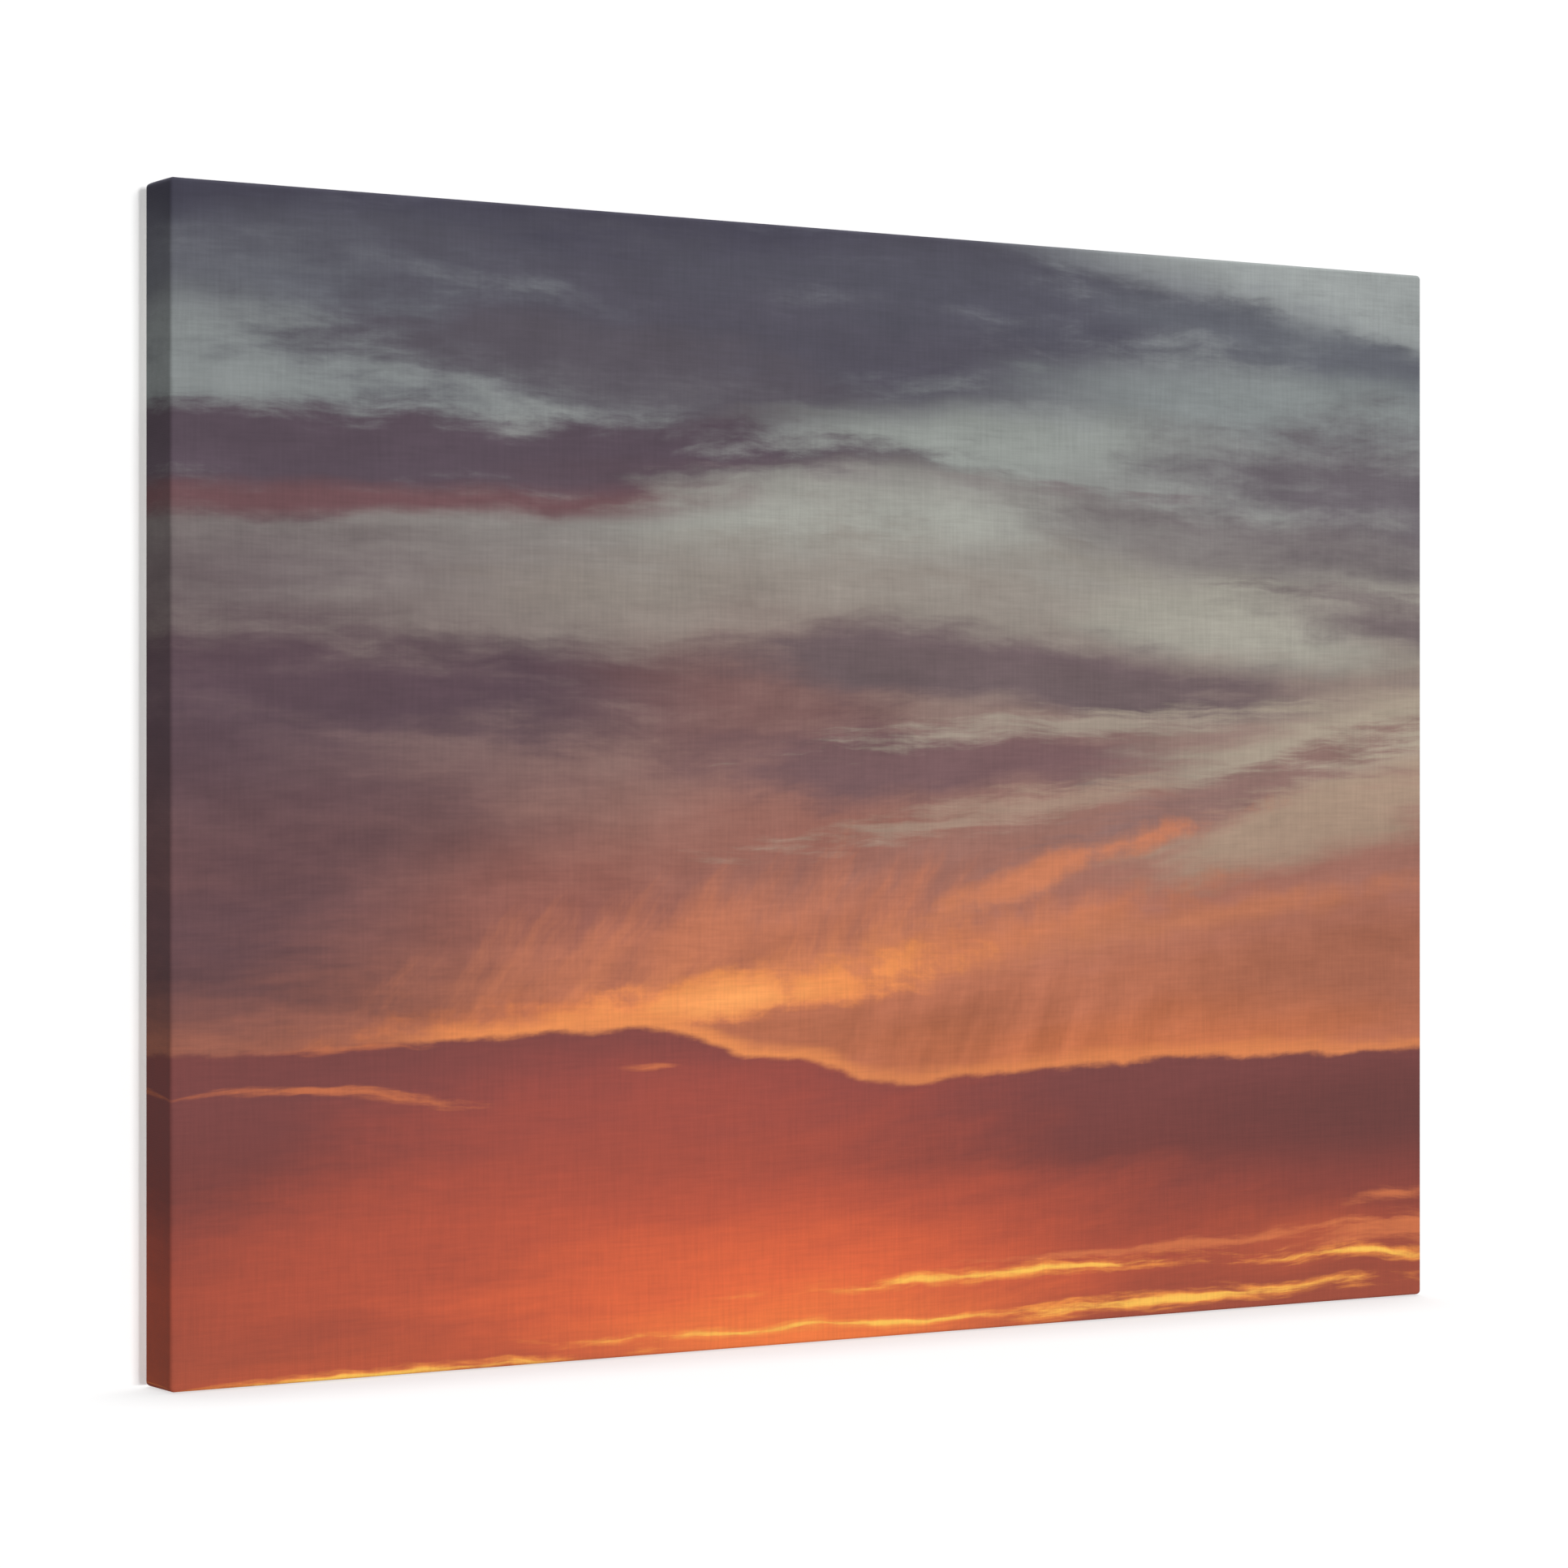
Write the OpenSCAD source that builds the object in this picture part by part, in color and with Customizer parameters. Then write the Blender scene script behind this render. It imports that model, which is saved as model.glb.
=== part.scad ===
// Stretched canvas: a printed sheet wrapped round a keyed pine stretcher frame, with a centre brace,
// corner keys, staples, strap hangers, D-rings, picture wire and lower back bumpers.
// Millimetres. +Z is up, the printed front faces -Y, and the origin is the middle of the bottom face.

/* [Canvas sheet] */
// Overall width across the wrapped sheet
canvas_w = 812.8; // [600:0.1:1200]
// Overall height across the wrapped sheet
canvas_h = 609.6; // [560:0.1:900]
// Depth from the printed face to the turned-over flaps
canvas_d = 31.75; // [31:0.05:38.1]
// Thickness of the coated cloth
sheet_t = 0.5; // [0.3:0.1:0.7]
// Radius of the four outline corners
corner_r = 2.5; // [1.5:0.1:5]
// Radius where the sheet folds from one face to the next
fold_r = 2; // [1:0.1:3]
// Width of the flap turned over onto the back of each bar
flap_w = 25; // [20:0.5:26]

/* [Stretcher bars] */
// Width of a bar across its back face
bar_w = 44; // [42:0.5:60]
// Width of the flat raised bead that carries the sheet
bead_w = 6; // [4:0.5:10]
// How far the face drops just behind the bead
bead_h = 3.2; // [2:0.1:5]
// How far the face has dropped at the inner edge
bevel_h = 6.5; // [5.1:0.1:7]
// Thickness of the cheek behind the first slot
back_cheek_t = 5.6; // [5.4:0.1:6]
// Thickness of each slot
slot_t = 4.6; // [4:0.1:4.8]
// Thickness of the web between the two slots
web_t = 4.2; // [4:0.1:4.6]
// Gap left on each side of a tongue in its slot
tongue_gap = 0.1; // [0.05:0.05:0.2]
// How far a tongue's end stops short of the outer edge
tongue_recess = 1.2; // [1:0.1:3]
// Gap at each mitre face
mitre_gap = 0.1; // [0.05:0.05:0.3]

/* [Centre brace] */
// Width of the brace
brace_w = 38; // [32:0.5:60]
// Depth of the brace
brace_d = 19; // [16:0.5:20]
// Length of each tenon
tenon_l = 14; // [8:0.5:20]

/* [Corner keys] */
// Length of a key
key_l = 42; // [36:0.5:44]
// Thickness of a key
key_t = 4; // [3:0.1:4.2]
// Width of a key at its tip
key_tip_w = 4.5; // [3.5:0.1:6]
// Width of a key at its head
key_head_w = 12.5; // [9:0.1:14]
// How deep a key stands in its slot
key_in = 24; // [18:0.5:26]

/* [Staples] */
// Length of a staple's crown
crown_l = 10; // [6:0.5:12]
// Width of the staple wire
staple_w = 1.2; // [0.8:0.1:1.4]
// Thickness of the staple wire
staple_t = 0.6; // [0.4:0.1:0.8]
// Length of a staple's legs
leg_l = 6.2; // [4:0.1:6.3]
// Distance of the staple rows from the outer edge
staple_in = 15; // [10:0.5:18]
// Greatest spacing between neighbouring staples
staple_pitch = 68; // [40:1:120]

/* [Hanging hardware] */
// Distance of each strap's centre line from the side of the frame
strap_in = 34.5; // [33:0.5:36]
// Height of the ring pivots above the bottom face
pivot_h = 420; // [300:1:450]
// Width of a strap
strap_w = 12; // [8:0.5:13]
// Length of a strap below the pivot
strap_l = 44; // [40:0.5:60]
// Thickness of a folded strap
strap_t = 1.6; // [1.2:0.1:2]
// Radius of the ring wire
ring_wire_r = 1.3; // [1:0.1:1.4]
// Centre-line radius of a ring's bow
ring_bow_r = 10; // [9.5:0.5:12]
// Length of a ring's straight sides
ring_side_l = 3; // [2:0.5:6]
// How far the rings stand off the back at rest, in degrees
ring_lift = 12; // [12:1:20]
// Radius of the picture wire
wire_r = 0.9; // [0.6:0.1:0.9]
// Height of the wire's peak above the ring pivots
wire_rise = 82; // [40:1:100]
// Radius of a bumper
bumper_r = 6; // [4:0.5:7]
// Thickness of a bumper
bumper_t = 6; // [3:0.5:10]

/* [Hidden] */
inner_w = canvas_w - 2 * sheet_t;
inner_h = canvas_h - 2 * sheet_t;
back_y = canvas_d / 2 - sheet_t;
front_y = -back_y;
flap_y = canvas_d / 2;
mid_z = canvas_h / 2;
slot_a1 = back_y - back_cheek_t;
slot_a0 = slot_a1 - slot_t;
slot_b1 = slot_a0 - web_t;
slot_b0 = slot_b1 - slot_t;
key_slope = (key_head_w - key_tip_w) / key_l;
key_gap = 0.06;
pocket_in = key_in + 5;
hole_gap = 0.03;
barrel_bore_r = ring_wire_r + 0.08;
barrel_r = barrel_bore_r + 0.8;
pivot_y = back_y + barrel_r;
strap_x = canvas_w / 2 - strap_in;
tip_l = ring_side_l + ring_bow_r;
tip_y = pivot_y + tip_l * sin(ring_lift);
tip_z = pivot_h + tip_l * cos(ring_lift);
coil_r = ring_wire_r + wire_r + 0.35;
screw_r = 1.6;
screw_l = 12;
head_r = 3.3;
run_x0 = strap_x;
run_z0 = tip_z + coil_r;
peak_z = pivot_h + wire_rise;
run_angle = atan2(peak_z - run_z0, run_x0);
run_l = norm([run_x0, peak_z - run_z0]);
strand_gap = 2 * wire_r + 0.1;
sleeve_l = 12;
sleeve_from = 15;
eps = 1;
lap = 0.01;

// ---- shared shapes ----

// A flat outline in X and Z, filled between two depths.
module layer(y0, y1) {
    translate([0, y1, 0])
        rotate([90, 0, 0])
            linear_extrude(height = y1 - y0)
                children();
}

// A rectangle with round corners, centred on the origin.
module round_rect(w, h, r) {
    square([w - 2 * r, h], center = true);
    square([w, h - 2 * r], center = true);
    for (sx = [-1, 1])
        for (sy = [-1, 1])
            translate([sx * (w / 2 - r), sy * (h / 2 - r)])
                circle(r = r, $fn = 72);
}

// The frame's envelope grown outward by g: rounded in outline and along every fold.
module envelope(g) {
    w = inner_w + 2 * g;
    h = inner_h + 2 * g;
    d = 2 * back_y + 2 * g;
    rc = corner_r - sheet_t + g;
    rf = fold_r - sheet_t + g;
    translate([0, 0, mid_z])
        intersection() {
            layer(-d / 2, d / 2)
                round_rect(w, h, rc);
            translate([0, 0, -h])
                linear_extrude(height = 2 * h)
                    round_rect(w, d, rf);
            rotate([90, 0, 90])
                translate([0, 0, -w])
                    linear_extrude(height = 2 * w)
                        round_rect(d, h, rf);
        }
}

// Stands a child on side k (0 top, 1 right, 2 bottom, 3 left): its local z = 0 is the outer edge.
module on_side(k) {
    reach = (k % 2 == 0 ? inner_h : inner_w) / 2;
    translate([0, 0, mid_z])
        rotate([0, 90 * k, 0])
            translate([0, 0, reach])
                children();
}

function side_length(k) = k % 2 == 0 ? inner_w : inner_h;

// ---- stretcher bars ----

// A bar's section in depth and height, its two outer long edges rounded to take the fold.
module bar_section() {
    r = fold_r - sheet_t;
    difference() {
        polygon([
            [back_y, 0],
            [back_y, -bar_w + 1.5],
            [back_y - 1.5, -bar_w],
            [front_y + bevel_h, -bar_w],
            [front_y + bead_h, -bead_w - 2.5],
            [front_y, -bead_w],
            [front_y, 0]
        ]);
        for (side = [-1, 1])
            difference() {
                translate([side * back_y, 0])
                    square([2 * r, 2 * r], center = true);
                translate([side * (back_y - r), -r])
                    circle(r = r, $fn = 72);
            }
    }
}

module bar_blank(length) {
    translate([-length / 2, 0, 0])
        rotate([90, 0, 90])
            linear_extrude(height = length)
                bar_section();
}

// What a mitre takes off an end, in distances along and across the bar from its outer corner.
module mitre_waste() {
    polygon([
        [mitre_gap - 5, -5],
        [mitre_gap + bar_w + 5, bar_w + 5],
        [mitre_gap - 5, bar_w + 5]
    ]);
}

// The eased outer corner, so that no wood touches the rounded corner of the sheet.
module corner_waste() {
    cut = corner_r - sheet_t;
    polygon([
        [-5, -5],
        [cut + 5, -5],
        [-5, cut + 5]
    ]);
}

// The slot for the neighbour's tongue, with the tapered pocket for a key beyond it.
module slot_waste() {
    translate([-5, -5])
        square([bar_w + mitre_gap + 5, bar_w + 10]);
    mouth = key_tip_w + key_slope * key_in + 2 * key_gap;
    end = mouth - key_slope * pocket_in;
    polygon([
        [bar_w, bar_w + 5],
        [bar_w, bar_w - pocket_in],
        [bar_w + end, bar_w - pocket_in],
        [bar_w + mouth, bar_w],
        [bar_w + mouth, bar_w + 5]
    ]);
}

// One end of a bar. Its tongue fills layer tongue0..tongue1 and its slot is slot0..slot1.
module end_waste(tongue0, tongue1, slot0, slot1) {
    low = min(tongue0, slot0);
    high = max(tongue1, slot1);
    layer(front_y - eps, low + lap)
        mitre_waste();
    layer(min(tongue1, slot1) - lap, max(tongue0, slot0) + lap)
        mitre_waste();
    layer(high - lap, back_y + eps)
        mitre_waste();
    layer(slot0, slot1)
        slot_waste();
    layer(tongue0, tongue0 + tongue_gap)
        mitre_waste();
    layer(tongue1 - tongue_gap, tongue1)
        mitre_waste();
    layer(tongue0, tongue1)
        translate([-5, -5])
            square([tongue_recess + 5, bar_w + 10]);
    layer(front_y - eps, back_y + eps)
        corner_waste();
}

module bar(k) {
    length = side_length(k);
    difference() {
        on_side(k)
            bar_blank(length);
        on_side(k)
            translate([-length / 2, 0, 0])
                mirror([0, 0, 1])
                    end_waste(slot_a0, slot_a1, slot_b0, slot_b1);
        on_side(k)
            translate([length / 2, 0, 0])
                mirror([1, 0, 0])
                    mirror([0, 0, 1])
                        end_waste(slot_b0, slot_b1, slot_a0, slot_a1);
        if (k % 2 == 0)
            on_side(k)
                layer(slot_a0, slot_a1)
                    translate([-brace_w / 2 + 3.9, -bar_w - eps])
                        square([brace_w - 7.8, tenon_l + 1.5 + eps]);
        staple_row(k, hole_gap);
        if (k % 2 == 0)
            fold_staple_pair(k, hole_gap);
        if (k % 2 == 1)
            strap_screw_pair(k, hole_gap);
    }
}

// ---- sheet ----

// The turned fold that covers each end of the top and bottom flaps.
module fold_patch(k) {
    on_side(k)
        for (s = [-1, 1])
            layer(flap_y - 0.2, flap_y + sheet_t)
                polygon([
                    [s * (side_length(k) / 2 - 2), -1.2],
                    [s * (side_length(k) / 2 - flap_w), -1.2],
                    [s * (side_length(k) / 2 - flap_w), -flap_w + 0.6],
                    [s * (side_length(k) / 2 - flap_w + 1.4), -flap_w + 0.6]
                ]);
}

module printed_canvas() {
    color("indianred")
        difference() {
            union() {
                difference() {
                    envelope(sheet_t);
                    envelope(0);
                    translate([-inner_w / 2 + flap_w, 0, sheet_t + flap_w])
                        cube([inner_w - 2 * flap_w, canvas_d, inner_h - 2 * flap_w]);
                }
                fold_patch(0);
                fold_patch(2);
            }
            for (k = [0:3])
                staple_row(k, hole_gap);
            fold_staple_pair(0, hole_gap);
            fold_staple_pair(2, hole_gap);
        }
}

// ---- brace ----

module centre_brace() {
    low = bar_w + sheet_t;
    span = canvas_h - 2 * low;
    color("burlywood")
        union() {
            translate([0, 0, low])
                linear_extrude(height = span)
                    polygon([
                        [-brace_w / 2, back_y - 1.5],
                        [-brace_w / 2 + 1.5, back_y],
                        [brace_w / 2 - 1.5, back_y],
                        [brace_w / 2, back_y - 1.5],
                        [brace_w / 2, back_y - brace_d + 2],
                        [brace_w / 2 - 2, back_y - brace_d],
                        [-brace_w / 2 + 2, back_y - brace_d],
                        [-brace_w / 2, back_y - brace_d + 2]
                    ]);
            translate([-brace_w / 2 + 4, slot_a0 + tongue_gap, low - tenon_l])
                cube([brace_w - 8, slot_t - 2 * tongue_gap, span + 2 * tenon_l]);
        }
}

// ---- keys ----

// A key in its pocket, drawn at a left-hand end with the bar's outer corner at the origin.
module key_wedge(y0) {
    mid = y0 + slot_t / 2;
    mirror([0, 0, 1])
        layer(mid - key_t / 2, mid + key_t / 2)
            translate([bar_w + key_gap, bar_w - key_in])
                polygon([
                    [0, 0.8],
                    [0.8, 0],
                    [key_tip_w - 0.8, 0],
                    [key_tip_w, 0.8],
                    [key_tip_w + key_slope * (key_l - 1.5), key_l - 1.5],
                    [key_head_w - 1.5, key_l],
                    [1.5, key_l],
                    [0, key_l - 1.5]
                ]);
}

module key_at_left_end(k) {
    color("tan")
        on_side(k)
            translate([-side_length(k) / 2, 0, 0])
                key_wedge(slot_b0);
}

module key_at_right_end(k) {
    color("tan")
        on_side(k)
            translate([side_length(k) / 2, 0, 0])
                mirror([1, 0, 0])
                    key_wedge(slot_a0);
}

// ---- staples ----

// A staple with the underside of its crown at y = 0 and its legs pointing along -Y.
module staple(g) {
    if (g == 0)
        translate([-crown_l / 2, 0, -staple_w / 2])
            cube([crown_l, staple_t, staple_w]);
    for (s = [-1, 1])
        translate([s * (crown_l - staple_t) / 2, 0, 0])
            translate([-staple_t / 2 - g, -leg_l - g, -staple_w / 2 - g])
                cube([staple_t + 2 * g, leg_l + g + (g == 0 ? 0.01 : 2), staple_w + 2 * g]);
}

module staple_row(k, g) {
    run = side_length(k) - 2 * (bar_w + 12);
    gaps = ceil(run / staple_pitch);
    on_side(k)
        for (i = [0:gaps])
            translate([-run / 2 + i * run / gaps, flap_y, -staple_in])
                staple(g);
}

module fold_staple_pair(k, g) {
    on_side(k)
        for (s = [-1, 1])
            translate([s * (side_length(k) / 2 - 17), flap_y + sheet_t, -7.5])
                staple(g);
}

// ---- hanging hardware ----

// The strap screw's buried part, pointing along -Y from y = 0.
module screw_shank(g) {
    rotate([90, 0, 0])
        union() {
            translate([0, 0, -g])
                cylinder(h = screw_l - 3 + g, r = screw_r + g, $fn = 48);
            translate([0, 0, screw_l - 3])
                cylinder(h = 3, r1 = screw_r + g, r2 = 0.3 + g, $fn = 48);
        }
}

module strap_screw_pair(k, g) {
    s = k == 1 ? 1 : -1;
    for (drop = [15, 35])
        translate([s * strap_x, back_y, pivot_h - drop])
            screw_shank(g);
}

module strap_screws(s) {
    color("silver")
        for (drop = [15, 35])
            translate([s * strap_x, back_y, pivot_h - drop])
                difference() {
                    union() {
                        screw_shank(0);
                        rotate([-90, 0, 0])
                            cylinder(h = strap_t + 0.1, r = screw_r, $fn = 48);
                        translate([0, strap_t, 0])
                            rotate([-90, 0, 0])
                                rotate_extrude($fn = 72)
                                    polygon([
                                        [0, 0], [head_r, 0], [head_r, 0.7], [head_r - 0.5, 1.4],
                                        [head_r - 1.4, 1.9], [0, 2.1]
                                    ]);
                    }
                    for (a = [45, 135])
                        translate([0, strap_t + 1.1, 0])
                            rotate([0, a, 0])
                                translate([-1.7, 0, -0.35])
                                    cube([3.4, 3, 0.7]);
                }
}

module strap(s) {
    color("silver")
        translate([s * strap_x, back_y, pivot_h])
            difference() {
                union() {
                    layer(0, strap_t) {
                        translate([-strap_w / 2, -strap_l + strap_w / 2])
                            square([strap_w, strap_l - strap_w / 2 - 0.6]);
                        translate([0, -strap_l + strap_w / 2])
                            circle(r = strap_w / 2, $fn = 72);
                    }
                    translate([0, barrel_r, 0])
                        rotate([0, 90, 0])
                            cylinder(h = strap_w, r = barrel_r, center = true, $fn = 72);
                }
                translate([0, barrel_r, 0])
                    rotate([0, 90, 0])
                        cylinder(h = strap_w + 2, r = barrel_bore_r, center = true, $fn = 72);
                for (drop = [15, 35])
                    translate([0, -1, -drop])
                        rotate([-90, 0, 0])
                            cylinder(h = strap_t + 2, r = screw_r + 0.4, $fn = 48);
            }
}

module d_ring(s) {
    color("silver")
        translate([s * strap_x, pivot_y, pivot_h])
            rotate([-ring_lift, 0, 0])
                union() {
                    rotate([0, 90, 0])
                        cylinder(h = 2 * ring_bow_r, r = ring_wire_r, center = true, $fn = 48);
                    for (e = [-1, 1])
                        translate([e * ring_bow_r, 0, 0]) {
                            sphere(r = ring_wire_r, $fn = 48);
                            cylinder(h = ring_side_l, r = ring_wire_r, $fn = 48);
                        }
                    translate([0, 0, ring_side_l])
                        rotate([90, 0, 0])
                            rotate_extrude(angle = 180, $fn = 96)
                                translate([ring_bow_r, 0])
                                    circle(r = ring_wire_r, $fn = 48);
                }
}

// A round rod from a to b.
module rod(a, b, r) {
    v = b - a;
    translate(a)
        rotate([0, acos(v[2] / norm(v)), atan2(v[1], v[0])])
            cylinder(h = norm(v), r = r, $fn = 48);
}

// A point on the wire's straight run, a distance along it from the right-hand ring.
function run_point(t) = [run_x0 - t * cos(run_angle), tip_y, run_z0 + t * sin(run_angle)];

// The right-hand half of the wire: coil round the ring, straight run, and tail back through the sleeve.
module wire_half() {
    translate([strap_x, tip_y, tip_z])
        rotate([0, 90, 0])
            rotate_extrude($fn = 72)
                translate([coil_r, 0])
                    circle(r = wire_r, $fn = 48);
    rod(run_point(0), run_point(run_l), wire_r);
    beside = [0, -strand_gap, 0];
    rod(run_point(0.3) + beside, run_point(sleeve_from + sleeve_l + 3) + beside, wire_r);
}

module hanging_wire() {
    color("gainsboro")
        union() {
            wire_half();
            mirror([1, 0, 0])
                wire_half();
        }
}

module ferrule() {
    color("lightgray")
        translate(run_point(sleeve_from))
            rotate([0, run_angle - 90, 0])
                linear_extrude(height = sleeve_l)
                    difference() {
                        union() {
                            circle(r = wire_r + 0.8, $fn = 48);
                            translate([0, -strand_gap])
                                circle(r = wire_r + 0.8, $fn = 48);
                            translate([-wire_r - 0.8, -strand_gap])
                                square([2 * wire_r + 1.6, strand_gap]);
                        }
                        circle(r = wire_r + 0.03, $fn = 48);
                        translate([0, -strand_gap])
                            circle(r = wire_r + 0.03, $fn = 48);
                    }
}

module bumper(s) {
    color("dimgray")
        translate([s * (canvas_w / 2 - strap_in), back_y, strap_in])
            rotate([-90, 0, 0])
                rotate_extrude($fn = 72)
                    polygon([
                        [0, 0], [bumper_r, 0], [bumper_r, bumper_t - 2],
                        [bumper_r - 1.2, bumper_t], [0, bumper_t]
                    ]);
}

printed_canvas();
bar_top();
bar_right();
bar_bottom();
bar_left();
centre_brace();
key_top_left_a();
key_top_left_b();
key_top_right_a();
key_top_right_b();
key_bottom_left_a();
key_bottom_left_b();
key_bottom_right_a();
key_bottom_right_b();
staples_top();
staples_right();
staples_bottom();
staples_left();
fold_staples();
strap_left();
strap_right();
strap_screws_left();
strap_screws_right();
ring_left();
ring_right();
hanging_wire();
ferrule_left();
ferrule_right();
bumper_left();
bumper_right();

// ---- one module per sub-part ----

module bar_top() {
    color("burlywood")
        bar(0);
}

module bar_right() {
    color("burlywood")
        bar(1);
}

module bar_bottom() {
    color("burlywood")
        bar(2);
}

module bar_left() {
    color("burlywood")
        bar(3);
}

module key_top_right_a() {
    key_at_right_end(0);
}

module key_top_left_b() {
    key_at_left_end(0);
}

module key_bottom_right_a() {
    key_at_right_end(1);
}

module key_top_right_b() {
    key_at_left_end(1);
}

module key_bottom_left_a() {
    key_at_right_end(2);
}

module key_bottom_right_b() {
    key_at_left_end(2);
}

module key_top_left_a() {
    key_at_right_end(3);
}

module key_bottom_left_b() {
    key_at_left_end(3);
}

module staples_top() {
    color("silver")
        staple_row(0, 0);
}

module staples_right() {
    color("silver")
        staple_row(1, 0);
}

module staples_bottom() {
    color("silver")
        staple_row(2, 0);
}

module staples_left() {
    color("silver")
        staple_row(3, 0);
}

module fold_staples() {
    color("silver") {
        fold_staple_pair(0, 0);
        fold_staple_pair(2, 0);
    }
}

module strap_left() {
    strap(-1);
}

module strap_right() {
    strap(1);
}

module strap_screws_left() {
    strap_screws(-1);
}

module strap_screws_right() {
    strap_screws(1);
}

module ring_left() {
    d_ring(-1);
}

module ring_right() {
    d_ring(1);
}

module ferrule_right() {
    ferrule();
}

module ferrule_left() {
    mirror([1, 0, 0])
        ferrule();
}

module bumper_left() {
    bumper(-1);
}

module bumper_right() {
    bumper(1);
}
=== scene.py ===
"""The looks of a stretched canvas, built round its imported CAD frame.

The printed sheet, staples, picture wire, sleeves and bumpers are meshes made here. The stretcher
bars, brace, keys, straps, screws and rings are the CAD solids with materials of their own.
Lengths are in metres. +Z is up and the printed face looks along -Y.
"""
import math
import random

import bpy
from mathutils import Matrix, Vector, noise


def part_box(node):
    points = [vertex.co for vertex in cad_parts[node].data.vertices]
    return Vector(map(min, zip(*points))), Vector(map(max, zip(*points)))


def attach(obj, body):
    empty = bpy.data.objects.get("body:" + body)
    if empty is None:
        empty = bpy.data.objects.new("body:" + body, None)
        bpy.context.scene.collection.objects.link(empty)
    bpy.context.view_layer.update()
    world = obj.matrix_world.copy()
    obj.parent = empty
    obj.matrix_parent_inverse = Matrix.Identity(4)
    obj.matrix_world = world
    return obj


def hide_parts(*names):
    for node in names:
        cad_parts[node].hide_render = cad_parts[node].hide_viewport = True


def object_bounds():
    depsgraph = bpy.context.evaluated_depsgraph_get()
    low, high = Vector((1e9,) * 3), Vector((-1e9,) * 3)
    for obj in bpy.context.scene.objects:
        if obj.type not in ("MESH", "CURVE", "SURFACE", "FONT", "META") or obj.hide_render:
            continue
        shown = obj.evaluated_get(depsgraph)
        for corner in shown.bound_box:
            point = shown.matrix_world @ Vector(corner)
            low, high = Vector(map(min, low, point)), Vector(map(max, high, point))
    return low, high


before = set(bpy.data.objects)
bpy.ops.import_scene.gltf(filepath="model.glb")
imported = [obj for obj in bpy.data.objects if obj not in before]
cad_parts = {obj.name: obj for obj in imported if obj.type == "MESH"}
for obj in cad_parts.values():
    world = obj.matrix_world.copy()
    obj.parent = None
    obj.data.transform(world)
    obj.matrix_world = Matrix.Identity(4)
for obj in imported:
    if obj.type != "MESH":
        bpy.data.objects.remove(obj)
cad_low, cad_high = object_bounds()

MM = 0.001

# ---- driving sizes, read from the frame ----

sheet_low, sheet_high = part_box("printed_canvas")
HALF_W = sheet_high.x
HEIGHT = sheet_high.z
FRONT_Y = sheet_low.y
WOOD_BACK_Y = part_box("bar_top")[1].y
SHEET_T = -FRONT_Y - WOOD_BACK_Y
FLAP_Y = WOOD_BACK_Y + SHEET_T
PRINT_RATIO = 2 * HALF_W / HEIGHT

CORNER_R = 2.5 * MM
FOLD_R = 2 * MM
FLAP_W = 25 * MM
INKED_FLAP = 8 * MM
INK_SHARE = 0.86
THREAD_PITCH = 0.9 * MM


# ---- shader nodes ----

def tone(red, green, blue):
    """A display colour, each channel 0 to 255, as the linear colour that a node takes."""
    def linear(channel):
        c = channel / 255
        return c / 12.92 if c <= 0.04045 else ((c + 0.055) / 1.055) ** 2.4
    return (linear(red), linear(green), linear(blue), 1.0)


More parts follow.
